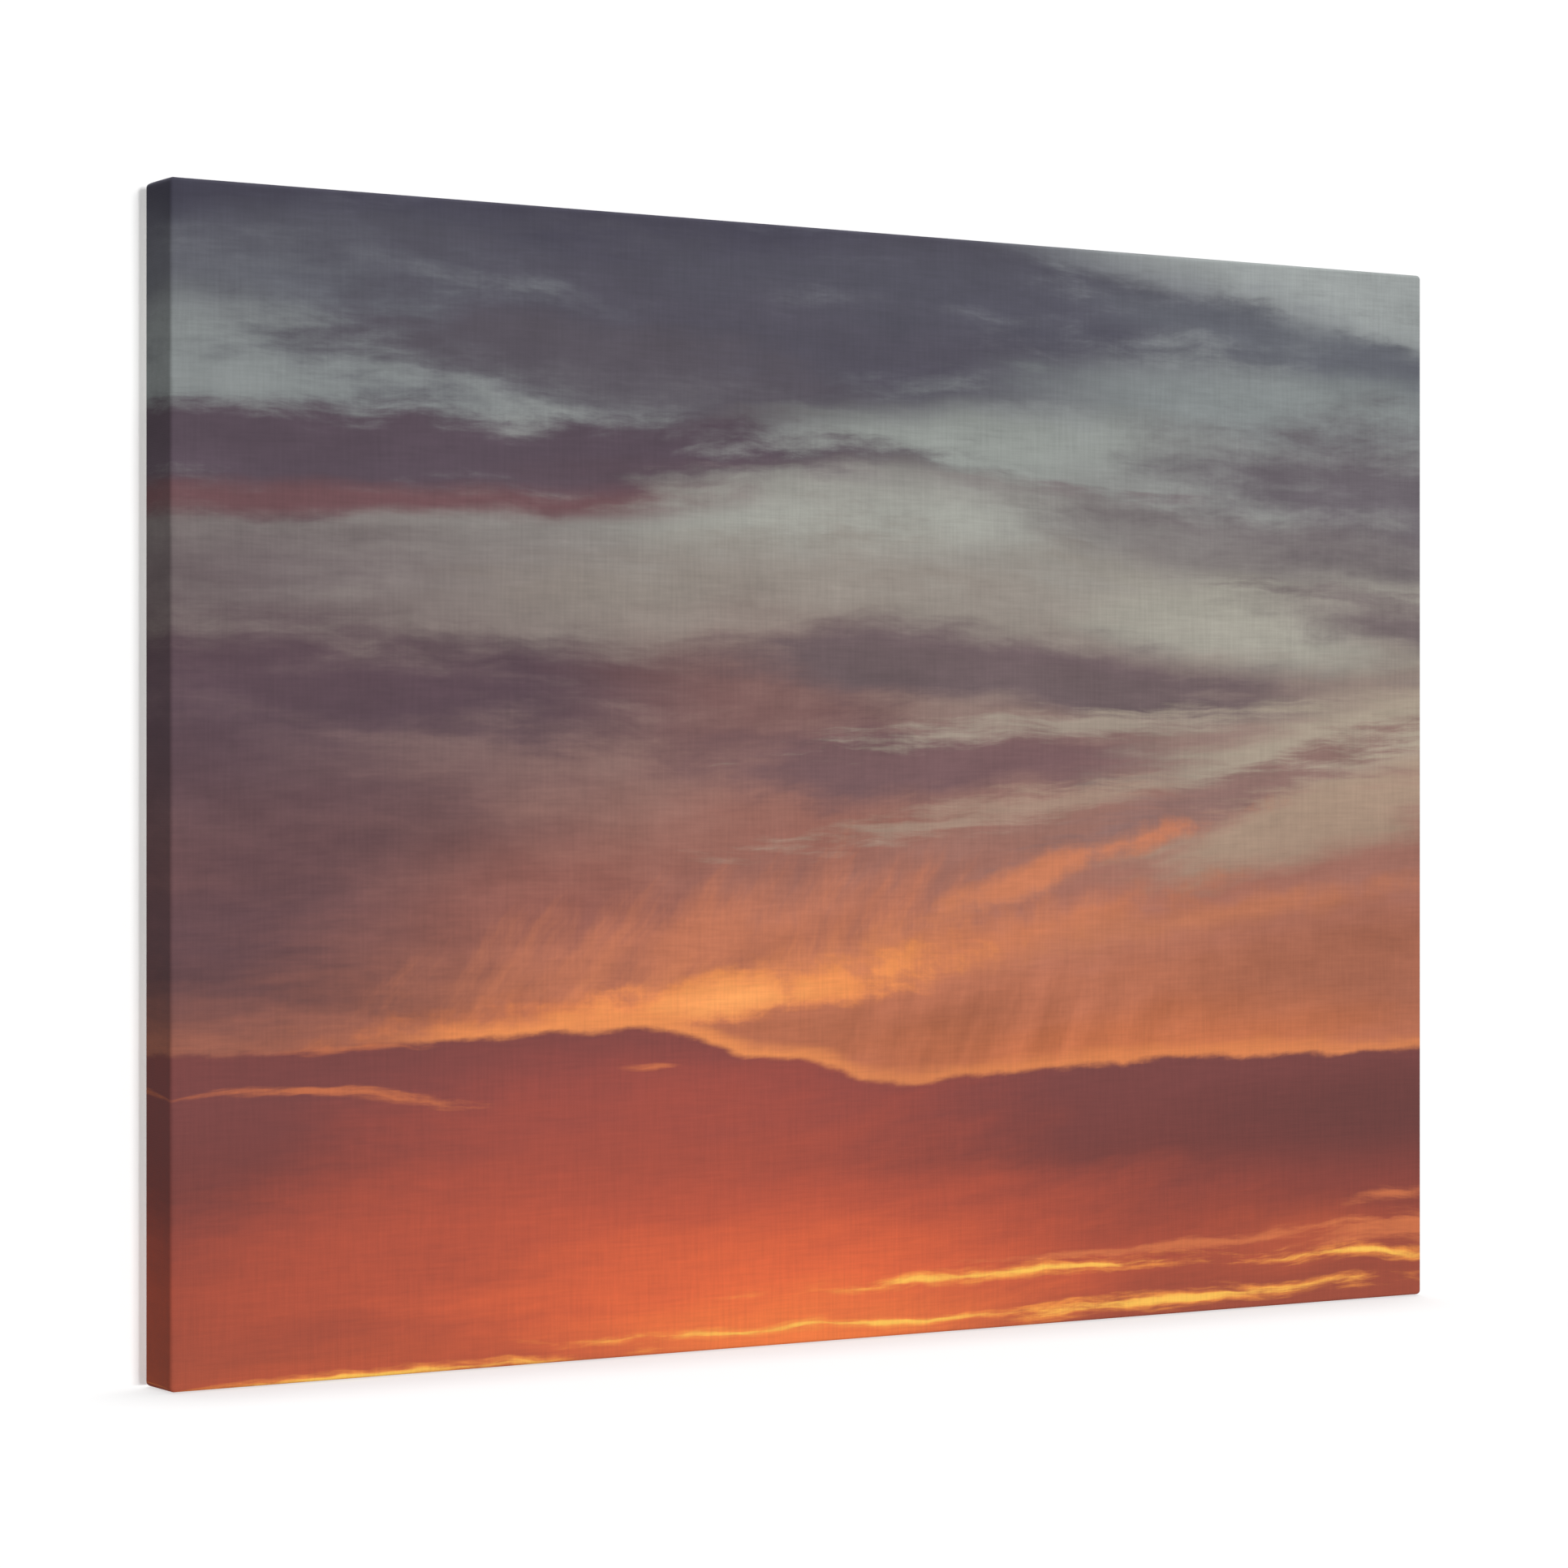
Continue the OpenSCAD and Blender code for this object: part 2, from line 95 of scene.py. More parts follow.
class Nodes:
    """Adds shader nodes to a new material or world.

    add() returns the node, surface() the material, split() three sockets and the rest one socket.
    """

    def __init__(self, owner):
        self.owner = owner
        owner.use_nodes = True
        self.tree = owner.node_tree
        self.tree.nodes.clear()

    def add(self, kind, inputs, **settings):
        node = self.tree.nodes.new(kind)
        for key, value in settings.items():
            setattr(node, key, value)
        for key, value in inputs.items():
            if isinstance(value, bpy.types.NodeSocket):
                self.tree.links.new(value, node.inputs[key])
            else:
                node.inputs[key].default_value = value
        return node

    def math(self, operation, a, b=0.0, clamp=False):
        return self.add("ShaderNodeMath", {0: a, 1: b}, operation=operation, use_clamp=clamp).outputs[0]

    def plus(self, first, *others):
        for other in others:
            first = self.math("ADD", first, other)
        return first

    def minus(self, a, b):
        return self.math("SUBTRACT", a, b)

    def times(self, a, b):
        return self.math("MULTIPLY", a, b)

    def mirrored(self, share):
        """A share from 0 to 1, reflected where it runs past either end."""
        return self.minus(1.0, self.math("ABSOLUTE", self.minus(1.0, self.math("ABSOLUTE", share))))

    def vector(self, operation, a, b):
        return self.add("ShaderNodeVectorMath", {0: a, 1: b}, operation=operation).outputs[0]

    def dot(self, a, b):
        node = self.add("ShaderNodeVectorMath", {0: a, 1: b}, operation="DOT_PRODUCT")
        return node.outputs["Value"]

    def length(self, a):
        return self.add("ShaderNodeVectorMath", {0: a}, operation="LENGTH").outputs["Value"]

    def split(self, vector):
        return self.add("ShaderNodeSeparateXYZ", {0: vector}).outputs

    def join(self, x, y, z=0.0):
        return self.add("ShaderNodeCombineXYZ", {0: x, 1: y, 2: z}).outputs[0]

    def fade(self, value, start, end, low=0.0, high=1.0):
        """Eases from low to high as value goes from start to end."""
        inputs = {"Value": value, "From Min": start, "From Max": end, "To Min": low, "To Max": high}
        return self.add("ShaderNodeMapRange", inputs, interpolation_type="SMOOTHSTEP").outputs[0]

    def mix(self, share, a, b, blend="MIX"):
        node = self.add("ShaderNodeMix", {0: share, 6: a, 7: b}, data_type="RGBA", blend_type=blend)
        return node.outputs[2]

    def shaded(self, colour, shade):
        """The colour made darker or lighter by a number: 1 leaves it alone."""
        return self.mix(1.0, colour, self.join(shade, shade, shade), "MULTIPLY")

    def noise(self, at, stretch, detail, rough=0.55, flat=False):
        """Zero-centred cloud noise, stretch times as fine along each axis as one metre or one unit."""
        scaled = self.vector("MULTIPLY", at, stretch)
        inputs = {"Vector": scaled, "Scale": 1.0, "Detail": detail, "Roughness": rough}
        dimensions = "2D" if flat else "3D"
        node = self.add("ShaderNodeTexNoise", inputs, noise_dimensions=dimensions)
        return self.minus(node.outputs[0], 0.5)

    def ramp(self, value, stops):
        """A colour that eases through (place, display colour) stops."""
        node = self.add("ShaderNodeValToRGB", {0: value})
        elements = node.color_ramp.elements
        elements.remove(elements[-1])
        elements[0].position = stops[0][0]
        for place, _ in stops[1:]:
            elements.new(place)
        for element, (_, colour) in zip(elements, stops):
            element.color = tone(*colour)
        return node.outputs[0]

    def curve(self, value, points):
        """A height that follows the given (place, height) points smoothly."""
        node = self.add("ShaderNodeFloatCurve", {1: value})
        line = node.mapping.curves[0]
        line.points[0].location = points[0]
        line.points[1].location = points[-1]
        for place, height in points[1:-1]:
            line.points.new(place, height)
        node.mapping.update()
        return node.outputs[0]

    def bump(self, height, distance, strength):
        inputs = {"Height": height, "Distance": distance, "Strength": strength}
        return self.add("ShaderNodeBump", inputs).outputs[0]

    def surface(self, colour, roughness, normal, metallic=0.0, specular=0.5):
        shader = self.add("ShaderNodeBsdfPrincipled", {
            "Base Color": colour, "Roughness": roughness, "Normal": normal, "Metallic": metallic,
            "Specular IOR Level": specular,
        })
        self.add("ShaderNodeOutputMaterial", {0: shader.outputs[0]})
        return self.owner

    def here(self):
        """The point being shaded, in the object's own metres."""
        return self.add("ShaderNodeTexCoord", {}).outputs["Object"]


def new_material(name):
    return Nodes(bpy.data.materials.new(name))


# ---- the printed sky ----

PALE = (134, 139, 139)


class Sky:
    """Paints the print, at places given as (share of the width, share of the height).

    Three noises break up its edges: wisp is drawn out sideways, puff is rounder, sliver is thin and
    nearly level.
    """

    def __init__(self, nodes, across, up):
        self.n = nodes
        self.flat = nodes.join(nodes.times(across, PRINT_RATIO), up, 1.0)
        drift_x = nodes.times(nodes.noise(self.flat, (1.7, 4.0, 1.0), 4.0, 0.5, True), 0.12)
        drift_y = nodes.times(nodes.noise(self.flat, (2.3, 5.0, 1.0), 5.0, 0.55, True), 0.045)
        self.at = nodes.vector("ADD", self.flat, nodes.join(drift_x, drift_y))
        lean = nodes.times(nodes.fade(across, 0.35, 1.0), nodes.fade(up, 0.62, 0.45))
        leaning = nodes.vector("ADD", self.at, nodes.join(0.0, nodes.times(lean, -0.11)))
        wisp = nodes.noise(leaning, (2.6, 11.0, 1.0), 9.0, 0.64, True)
        fine = nodes.noise(leaning, (8.0, 40.0, 1.0), 6.0, 0.62, True)
        self.wisp = nodes.plus(wisp, nodes.times(fine, 0.4))
        self.puff = nodes.noise(self.at, (16.0, 26.0, 1.0), 6.0, 0.62, True)
        self.sliver = nodes.noise(self.at, (13.0, 120.0, 1.0), 5.0, 0.62, True)
        self.colour = None

    def turned(self, at, tilt, centre=(0.0, 0.0), size=(1.0, 1.0)):
        """The place `at` in axes turned by `tilt` degrees, counted in `size` from `centre`.

        `at` carries a 1 in its third place, so that one dot product also takes off the centre.
        """
        cosine, sine = math.cos(math.radians(tilt)), math.sin(math.radians(tilt))
        local = []
        for (x, y), unit in (((cosine, sine), size[0]), ((-sine, cosine), size[1])):
            row = (x / unit, y / unit, -(x * centre[0] + y * centre[1]) / unit)
            local.append(self.n.dot(at, row))
        return self.n.join(*local)

    def oval(self, centre, size, tilt):
        """How far out a point is from an oval's middle: 1 on its rim."""
        true_centre = (centre[0] * PRINT_RATIO, centre[1])
        true_size = (size[0] * PRINT_RATIO, size[1])
        return self.n.length(self.turned(self.at, tilt, true_centre, true_size))

    def patch(self, colour, centre, size, tilt, strength=1.0, soft=0.6, ragged=2.4, grain=None):
        """Lays a ragged oval of colour over the sky."""
        n = self.n
        distance = n.plus(self.oval(centre, size, tilt), n.times(grain or self.wisp, ragged))
        share = n.fade(distance, 1 + soft, 1 - soft, 0.0, strength)
        self.colour = n.mix(share, self.colour, tone(*colour))

    def haze(self, colour, centre, size, tilt=0.0, strength=1.0):
        """Lays a wide soft glow or shade."""
        self.patch(colour, centre, size, tilt, strength, 1.0, 1.2)

    def streak(self, colour, centre, size, tilt, strength=1.0):
        """Lays a thin bright line of broken cloud."""
        self.patch(colour, centre, size, tilt, strength, 0.9, 3.6, self.sliver)


def sky_print(n, across, up):
    """The printed picture, a banded sky at sundown, as a colour socket."""
    sky = Sky(n, across, up)
    at_y = n.split(sky.at)[1]
    sky.colour = n.ramp(n.plus(at_y, n.times(sky.wisp, 0.06)), [
        (0.24, (184, 108, 78)), (0.33, (182, 111, 84)), (0.39, (166, 108, 92)),
        (0.46, (150, 108, 97)), (0.54, (142, 114, 107)), (0.62, (142, 129, 121)),
        (0.69, (150, 144, 136)), (0.78, (142, 143, 140)), (0.88, PALE),
        (0.97, (128, 131, 135)),
    ])
    paint_top(sky)
    paint_middle(sky)
    paint_glow(sky)
    shade = n.plus(1.0, n.times(sky.wisp, 0.5), n.times(sky.puff, 0.25))
    sky.colour = n.shaded(sky.colour, shade)
    paint_rays(sky)
    paint_bank(sky, across, up)
    return sky.colour


def paint_top(sky):
    """Slate cloud over pale sky."""
    sky.haze((77, 75, 88), (0.22, 1.03), (0.36, 0.11), -2)
    sky.haze((62, 61, 74), (-0.01, 1.0), (0.06, 0.045))
    sky.patch((72, 70, 83), (0.34, 0.985), (0.30, 0.06), -2)
    sky.patch((158, 163, 162), (0.95, 0.985), (0.26, 0.045), -6)
    sky.patch((92, 92, 101), (0.06, 0.93), (0.18, 0.035), 4, 0.7)
    sky.patch(PALE, (0.06, 0.85), (0.24, 0.05), -3)
    sky.patch((97, 99, 107), (0.17, 0.905), (0.16, 0.022), -6, 0.7)
    sky.patch((84, 81, 92), (0.45, 0.903), (0.33, 0.070), 2)
    sky.patch((92, 86, 94), (0.32, 0.855), (0.17, 0.04), -4, 0.8)
    sky.patch((84, 83, 94), (0.62, 0.945), (0.22, 0.032), -2)
    sky.patch((98, 100, 108), (0.84, 0.935), (0.16, 0.018), -5, 0.85)
    sky.patch((102, 104, 112), (0.99, 0.90), (0.13, 0.020), -6)
    sky.patch((138, 144, 144), (0.86, 0.865), (0.18, 0.03), -3, 0.8)
    sky.patch((152, 157, 152), (0.60, 0.81), (0.17, 0.03), 3, 0.8)


def paint_middle(sky):
    """The long mauve band, the pale gap under it and the broken cloud below."""
    sky.haze((112, 101, 103), (0.05, 0.68), (0.24, 0.06), 0, 0.9)
    sky.patch((90, 77, 87), (0.07, 0.775), (0.40, 0.040), 1, soft=0.4)
    sky.patch((93, 78, 87), (0.34, 0.765), (0.17, 0.016), 2, soft=0.5)
    sky.patch((112, 80, 84), (0.12, 0.738), (0.36, 0.013), 2, soft=0.8, ragged=1.6)
    sky.streak((122, 110, 112), (0.60, 0.775), (0.13, 0.006), 0, 0.8)
    sky.patch((168, 169, 161), (0.52, 0.735), (0.17, 0.034), 2, 0.85)
    sky.patch((106, 99, 105), (0.97, 0.775), (0.20, 0.055), -3)
    sky.patch((117, 108, 110), (0.86, 0.73), (0.20, 0.03), -4, 0.7)
    sky.patch((146, 137, 129), (0.42, 0.665), (0.24, 0.045), 3, 0.95)
    sky.patch((166, 162, 151), (0.82, 0.655), (0.13, 0.035), -5)
    sky.patch((116, 104, 105), (1.0, 0.655), (0.13, 0.020), -4)
    sky.streak((116, 104, 105), (0.93, 0.685), (0.10, 0.006), -4, 0.7)
    sky.haze((94, 74, 81), (0.0, 0.53), (0.24, 0.10), 0)
    sky.patch((92, 73, 81), (0.10, 0.58), (0.30, 0.045), -2)
    sky.haze((134, 98, 94), (0.42, 0.57), (0.10, 0.06), 0, 0.8)
    sky.haze((156, 103, 91), (0.45, 0.45), (0.12, 0.05), 4, 0.8)
    sky.patch((114, 97, 100), (0.66, 0.605), (0.20, 0.032), -4)
    sky.patch((112, 96, 98), (0.76, 0.585), (0.16, 0.016), -5, 0.8)
    sky.patch((121, 92, 94), (0.58, 0.515), (0.20, 0.028), 1)
    sky.streak((160, 146, 133), (0.70, 0.555), (0.14, 0.010), 5)
    sky.streak((166, 138, 122), (0.66, 0.478), (0.15, 0.010), 6)
    sky.patch((174, 160, 143), (0.97, 0.545), (0.18, 0.045), 8)
    sky.patch((172, 148, 128), (0.93, 0.475), (0.18, 0.035), 12, 0.9)
    sky.streak((138, 106, 101), (0.84, 0.495), (0.13, 0.018), 17, 0.9)


def paint_glow(sky):
    """Warm feathery light over the bank."""
    sky.haze((102, 74, 78), (0.0, 0.38), (0.17, 0.10))
    sky.haze((150, 94, 84), (0.28, 0.38), (0.10, 0.045), 0, 0.8)
    plume = sky.n.noise(sky.turned(sky.at, 50), (6.0, 34.0, 1.0), 6.0, 0.64, True)
    sky.patch((204, 124, 90), (0.38, 0.362), (0.14, 0.035), 9, 0.75, 1.0, 2.8, plume)
    sky.patch((214, 132, 90), (0.47, 0.337), (0.13, 0.019), 8, 0.75, 1.0, 3.0, plume)
    sky.patch((204, 127, 92), (0.68, 0.418), (0.09, 0.010), 14, 1.0, 1.0, 3.6, sky.puff)
    sky.patch((204, 124, 87), (0.56, 0.345), (0.16, 0.016), 9, 1.0, 1.0, 2.4, sky.puff)
    sky.patch((188, 118, 88), (0.82, 0.375), (0.15, 0.012), 7, 1.0, 1.0, 2.4, sky.puff)
    sky.haze((160, 100, 80), (0.98, 0.30), (0.12, 0.06), 0, 0.7)
    sky.patch((218, 127, 82), (0.31, 0.300), (0.14, 0.015), 5, 1.0, 1.0, 3.2, sky.puff)
    sky.patch((242, 150, 88), (0.41, 0.318), (0.12, 0.016), 7, 1.0, 0.9, 4.4, sky.puff)
    sky.patch((250, 164, 96), (0.40, 0.314), (0.04, 0.012), 5, 1.0, 0.9, 2.6, sky.puff)
    sky.haze((206, 118, 76), (0.77, 0.26), (0.16, 0.03), 2, 0.8)


def paint_rays(sky):
    """Slanting shafts of shade below the glow."""
    n = sky.n
    shafts = n.noise(sky.turned(sky.flat, 66), (2.5, 30.0, 1.0), 4.0, 0.55, True)
    near = n.fade(sky.oval((0.62, 0.28), (0.17, 0.055), 0), 1.6, 0.3)
    sky.colour = n.shaded(sky.colour, n.plus(1.0, n.times(n.times(shafts, near), 0.55)))


def paint_bank(sky, across, up):
    """The dark cloud bank along the bottom, lit from under its middle, with bright gaps in it."""
    n = sky.n
    edge = n.curve(across, [
        (0.0, 0.280), (0.10, 0.280), (0.19, 0.283), (0.36, 0.284), (0.42, 0.262), (0.48, 0.250),
        (0.53, 0.233), (0.60, 0.234), (0.72, 0.243), (1.0, 0.246),
    ])
    lumpy = n.plus(up, n.times(sky.wisp, 0.022), n.times(sky.puff, 0.012))
    below = n.minus(edge, lumpy)
    open_sky = sky.colour
    lit = n.times(n.fade(across, 0.12, 0.24), n.fade(across, 0.42, 0.54, 0.85, 0.5))
    rim = n.times(n.fade(below, -0.016, -0.001), lit)
    open_sky = n.mix(rim, open_sky, tone(236, 146, 86))
    sky.colour = n.ramp(n.plus(up, n.times(sky.wisp, 0.04)), [
        (0.02, (158, 79, 62)), (0.08, (150, 74, 61)), (0.12, (138, 71, 63)),
        (0.16, (121, 67, 63)), (0.23, (124, 71, 69)),
    ])
    sky.haze((160, 79, 70), (0.38, 0.21), (0.17, 0.05), 0, 0.9)
    sky.haze((178, 84, 66), (0.38, 0.14), (0.21, 0.06))
    sky.haze((196, 90, 65), (0.40, 0.07), (0.28, 0.06))
    sky.haze((228, 106, 66), (0.42, 0.045), (0.17, 0.045))
    sky.haze((240, 124, 68), (0.46, 0.005), (0.13, 0.030))
    sky.haze((186, 88, 62), (0.12, 0.0), (0.16, 0.018), 0, 0.8)
    sky.haze((106, 64, 62), (0.98, 0.19), (0.15, 0.04), 0, 0.8)
    sky.haze((196, 96, 66), (0.89, 0.065), (0.07, 0.022), 0, 0.5)
    for middle, size, tilt in (
        ((0.11, 0.232), (0.065, 0.003), -3), ((0.115, 0.270), (0.03, 0.003), 0),
        ((0.355, 0.247), (0.012, 0.0025), 0), ((0.80, 0.068), (0.13, 0.0035), 2),
        ((0.985, 0.100), (0.03, 0.004), 8), ((0.98, 0.066), (0.08, 0.010), 4),
    ):
        sky.streak((218, 124, 78), middle, size, tilt, 0.7)
    for middle, size, tilt in (
        ((0.64, 0.050), (0.12, 0.0026), 1), ((0.50, 0.015), (0.15, 0.0018), 0),
        ((0.78, 0.014), (0.12, 0.0036), 1), ((0.95, 0.043), (0.07, 0.0026), -3),
        ((0.12, -0.002), (0.13, 0.0020), 1),
    ):
        sky.streak((244, 150, 74), middle, (size[0], size[1] * 1.8), tilt, 0.9)
        sky.streak((255, 200, 92), middle, (size[0] * 0.7, size[1] * 0.8), tilt, 0.9)
    sky.colour = n.mix(n.fade(below, -0.001, 0.007), open_sky, sky.colour)


# ---- mesh helpers ----

def make_piece(name, points, faces, material):
    """A smooth mesh object from points and faces."""
    mesh = bpy.data.meshes.new(name)
    mesh.from_pydata([tuple(p) for p in points], [], faces)
    mesh.validate()
    mesh.materials.append(material)
    mesh.polygons.foreach_set("use_smooth", [True] * len(mesh.polygons))
    piece = bpy.data.objects.new(name, mesh)
    bpy.context.scene.collection.objects.link(piece)
    return piece


def stand_in(piece, node, body):
    """Shows a piece in place of a CAD node."""
    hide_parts(node)
    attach(piece, body)


def weld(piece, distance):
    """Joins the points that lie on top of each other."""
    bpy.context.view_layer.objects.active = piece
    modifier = piece.modifiers.new("weld", "WELD")
    modifier.merge_threshold = distance
    bpy.ops.object.modifier_apply(modifier=modifier.name)


def band_faces(first, second, closed=True):
    """Quads between two rings of point numbers."""
    count = len(first)
    last = count if closed else count - 1
    return [
        (first[i], first[(i + 1) % count], second[(i + 1) % count], second[i])
        for i in range(last)
    ]


def steady_axes(path, up):
    """(point, sideways, upward) at each point of a path, without twist along it."""
    side = None
    for i, at in enumerate(path):
        ahead = (path[min(i + 1, len(path) - 1)] - path[max(i - 1, 0)]).normalized()
        side = ahead.cross(up) if side is None else side - ahead * side.dot(ahead)
        side.normalize()
        yield at, side, side.cross(ahead)


def sweep(path, section, up):
    """Points and faces of the outline `section` carried along `path`, closed at both ends.

    A section point (a, b) lies a sideways and b upward of the path, and the section runs
    anticlockwise.
    """
    points, faces, rings = [], [], []
    for at, side, top in steady_axes(path, up):
        rings.append(list(range(len(points), len(points) + len(section))))
        points += [at + side * a + top * b for a, b in section]
    for first, second in zip(rings, rings[1:]):
        faces += band_faces(second, first)
    faces.append(tuple(rings[0]))
    faces.append(tuple(reversed(rings[-1])))
    return points, faces


def disc(radius, count):
    """A round section."""
    return [
        (radius * math.cos(2 * math.pi * i / count), radius * math.sin(2 * math.pi * i / count))
        for i in range(count)
    ]


def gather(parts):
    """Joins several (points, faces) pairs into one."""
    points, faces = [], []
    for more_points, more_faces in parts:
        start = len(points)
        points += more_points
        faces += [tuple(start + i for i in face) for face in more_faces]
    return points, faces


def islands(node):
    """The lowest and highest corners of each separate solid in a CAD node."""
    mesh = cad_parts[node].data
    owner = {}

    def find(key):
        while owner[key] != key:
            key = owner[key]
        return key

    keys = [tuple(round(c * 1e6) for c in v.co) for v in mesh.vertices]
    for key in keys:
        owner.setdefault(key, key)
    for face in mesh.polygons:
        first = find(keys[face.vertices[0]])
        for i in face.vertices[1:]:
            owner[find(keys[i])] = first
    groups = {}
    for vertex, key in zip(mesh.vertices, keys):
        groups.setdefault(find(key), []).append(vertex.co)
    boxes = []
    for group in groups.values():
        low = Vector(min(p[k] for p in group) for k in range(3))
        high = Vector(max(p[k] for p in group) for k in range(3))
        boxes.append((low, high))
    return sorted(boxes, key=lambda box: (round(box[0].x, 4), round(box[0].z, 4)))


def long_axis(low, high):
    """0 for a box that is longer along X than along Z, or else 2."""
    return 0 if high.x - low.x > high.z - low.z else 2


def ripple(point, scale, seed):
    """Smooth noise from about -1 to 1 at a point, one wave about `scale` long."""
    return noise.noise(point / scale + Vector((seed, seed * 1.7, 0)))


# ---- the printed sheet ----

STAPLE_NODES = ("staples_top", "staples_right", "staples_bottom", "staples_left", "fold_staples")
RUNS = (Vector((1, 0, 0)), Vector((0, 0, 1)))
OUTWARD = (RUNS[1], RUNS[0], -RUNS[1], -RUNS[0])
WIDE_STEPS, HIGH_STEPS = 120, 92
CORNER_STEPS = 6
FOLD_STEPS = 5
SIDE_STEPS = 17
FLAP_STEPS = 11
FACE_INSET = CORNER_R + 2 * MM
CLOTH_DEPTH = FLAP_Y - FRONT_Y


def spread(share):
    """Crowds samples towards both ends of a side, where the folds are."""
    return share + 0.11 * math.sin(-2 * math.pi * share) if 0 < share < 1 else share


class Outline:
    """Points round the sheet's rounded outline, at any distance in from it.

    Sides and corners are numbered clockwise: 0 is the top side and the corner at its right end.
    """

    def __init__(self):
        self.samples = []
        for k in range(4):
            count = WIDE_STEPS if k % 2 == 0 else HIGH_STEPS
            for i in range(count):
                self.samples.append(("side", k, spread(i / count)))
            for i in range(CORNER_STEPS):
                self.samples.append(("corner", k, i / CORNER_STEPS))

    @staticmethod
    def corner(k, inset):
        """The middle of corner k's rounding."""
        sx = 1 if k in (0, 1) else -1
        sz = 1 if k in (0, 3) else -1
        keep = max(CORNER_R, inset)
        return Vector((sx * (HALF_W - keep), 0, HEIGHT / 2 + sz * (HEIGHT / 2 - keep)))

    def point(self, sample, inset):
        kind, k, share = sample
        reach = max(CORNER_R - inset, 0)
        if kind == "side":
            start = self.corner((k - 1) % 4, inset)
            end = self.corner(k, inset)
            return start.lerp(end, share) + OUTWARD[k] * reach
        angle = share * math.pi / 2
        turn = OUTWARD[k] * math.cos(angle) + OUTWARD[(k + 1) % 4] * math.sin(angle)
        return self.corner(k, inset) + turn * reach


def sheet_profile():
    """(inset, depth behind the face, distance along the cloth) from the face to the cut edge.

    The distance counts from where the cloth starts to turn over the front edge.
    """
    flat = [(FACE_INSET, 0.0), (CORNER_R + 0.8 * MM, 0.0)]
    quarter = [math.pi / 2 * i / FOLD_STEPS for i in range(FOLD_STEPS + 1)]
    steps = flat + [(FOLD_R * (1 - math.sin(a)), FOLD_R * (1 - math.cos(a))) for a in quarter]
    for i in range(1, SIDE_STEPS):
        steps.append((0.0, FOLD_R + (CLOTH_DEPTH - 2 * FOLD_R) * i / SIDE_STEPS))
    steps += [(FOLD_R * (1 - math.cos(a)), CLOTH_DEPTH - FOLD_R * (1 - math.sin(a))) for a in quarter]
    for i in range(1, FLAP_STEPS + 1):
        steps.append((FOLD_R + (FLAP_W - FOLD_R) * i / FLAP_STEPS, CLOTH_DEPTH))
    profile, along = [], 0.0
    for i, (inset, back) in enumerate(steps):
        if i:
            along += math.hypot(inset - steps[i - 1][0], back - steps[i - 1][1])
        profile.append((inset, back, along))
    start = profile[len(flat)][2]
    return [(inset, back, along - start) for inset, back, along in profile]


def corner_distance(point, k):
    """How far a point on side k is from the nearer end of that side."""
    if k % 2 == 0:
        return HALF_W - abs(point.x)
    return HEIGHT / 2 - abs(point.z - HEIGHT / 2)


SIDE_RIPPLE = 0.12 * MM
PLEAT_STEP = 0.42 * MM
PLEAT_EASE = 1.6 * MM
STAPLE_HOLD = 26 * MM
HELD_FLAP = 5 * MM
CUT_EDGE_WAVE = 0.5 * MM


def sheet_shape(point, sample, inset, back, staples):
    """Moves an ideal sheet point to where stretched cloth lies.

    The sides ripple, a slanting pleat thickens the ends of the top and bottom sides, the flaps lift
    between staples, and their cut edge wanders.
    """
    kind, k, _ = sample
    moved = point + Vector((0, FRONT_Y + back, 0))
    if kind != "side":
        return moved
    if 0 < back < CLOTH_DEPTH:
        belly = math.sin(math.pi * back / CLOTH_DEPTH)
        moved += OUTWARD[k] * (SIDE_RIPPLE * belly * ripple(moved, 30 * MM, k))
        if k % 2 == 0:
            pleat = 1.05 * back - corner_distance(point, k)
            share = min(max(pleat / PLEAT_EASE + 0.5, 0), 1)
            moved += OUTWARD[k] * (PLEAT_STEP * share * belly ** 0.3)
    if back >= CLOTH_DEPTH and inset >= FOLD_R:
        nearest = min((point - staple).length for staple in staples)
        free = min(nearest / STAPLE_HOLD, 1.0) ** 2
        share = min(max((inset - HELD_FLAP) / (FLAP_W - HELD_FLAP), 0), 1)
        moved.y += share * free * (0.55 + 0.45 * ripple(moved, 22 * MM, 5)) * MM
        if inset > FLAP_W - 1 * MM:
            moved -= OUTWARD[k] * (CUT_EDGE_WAVE * ripple(moved, 7 * MM, 9))
    return moved


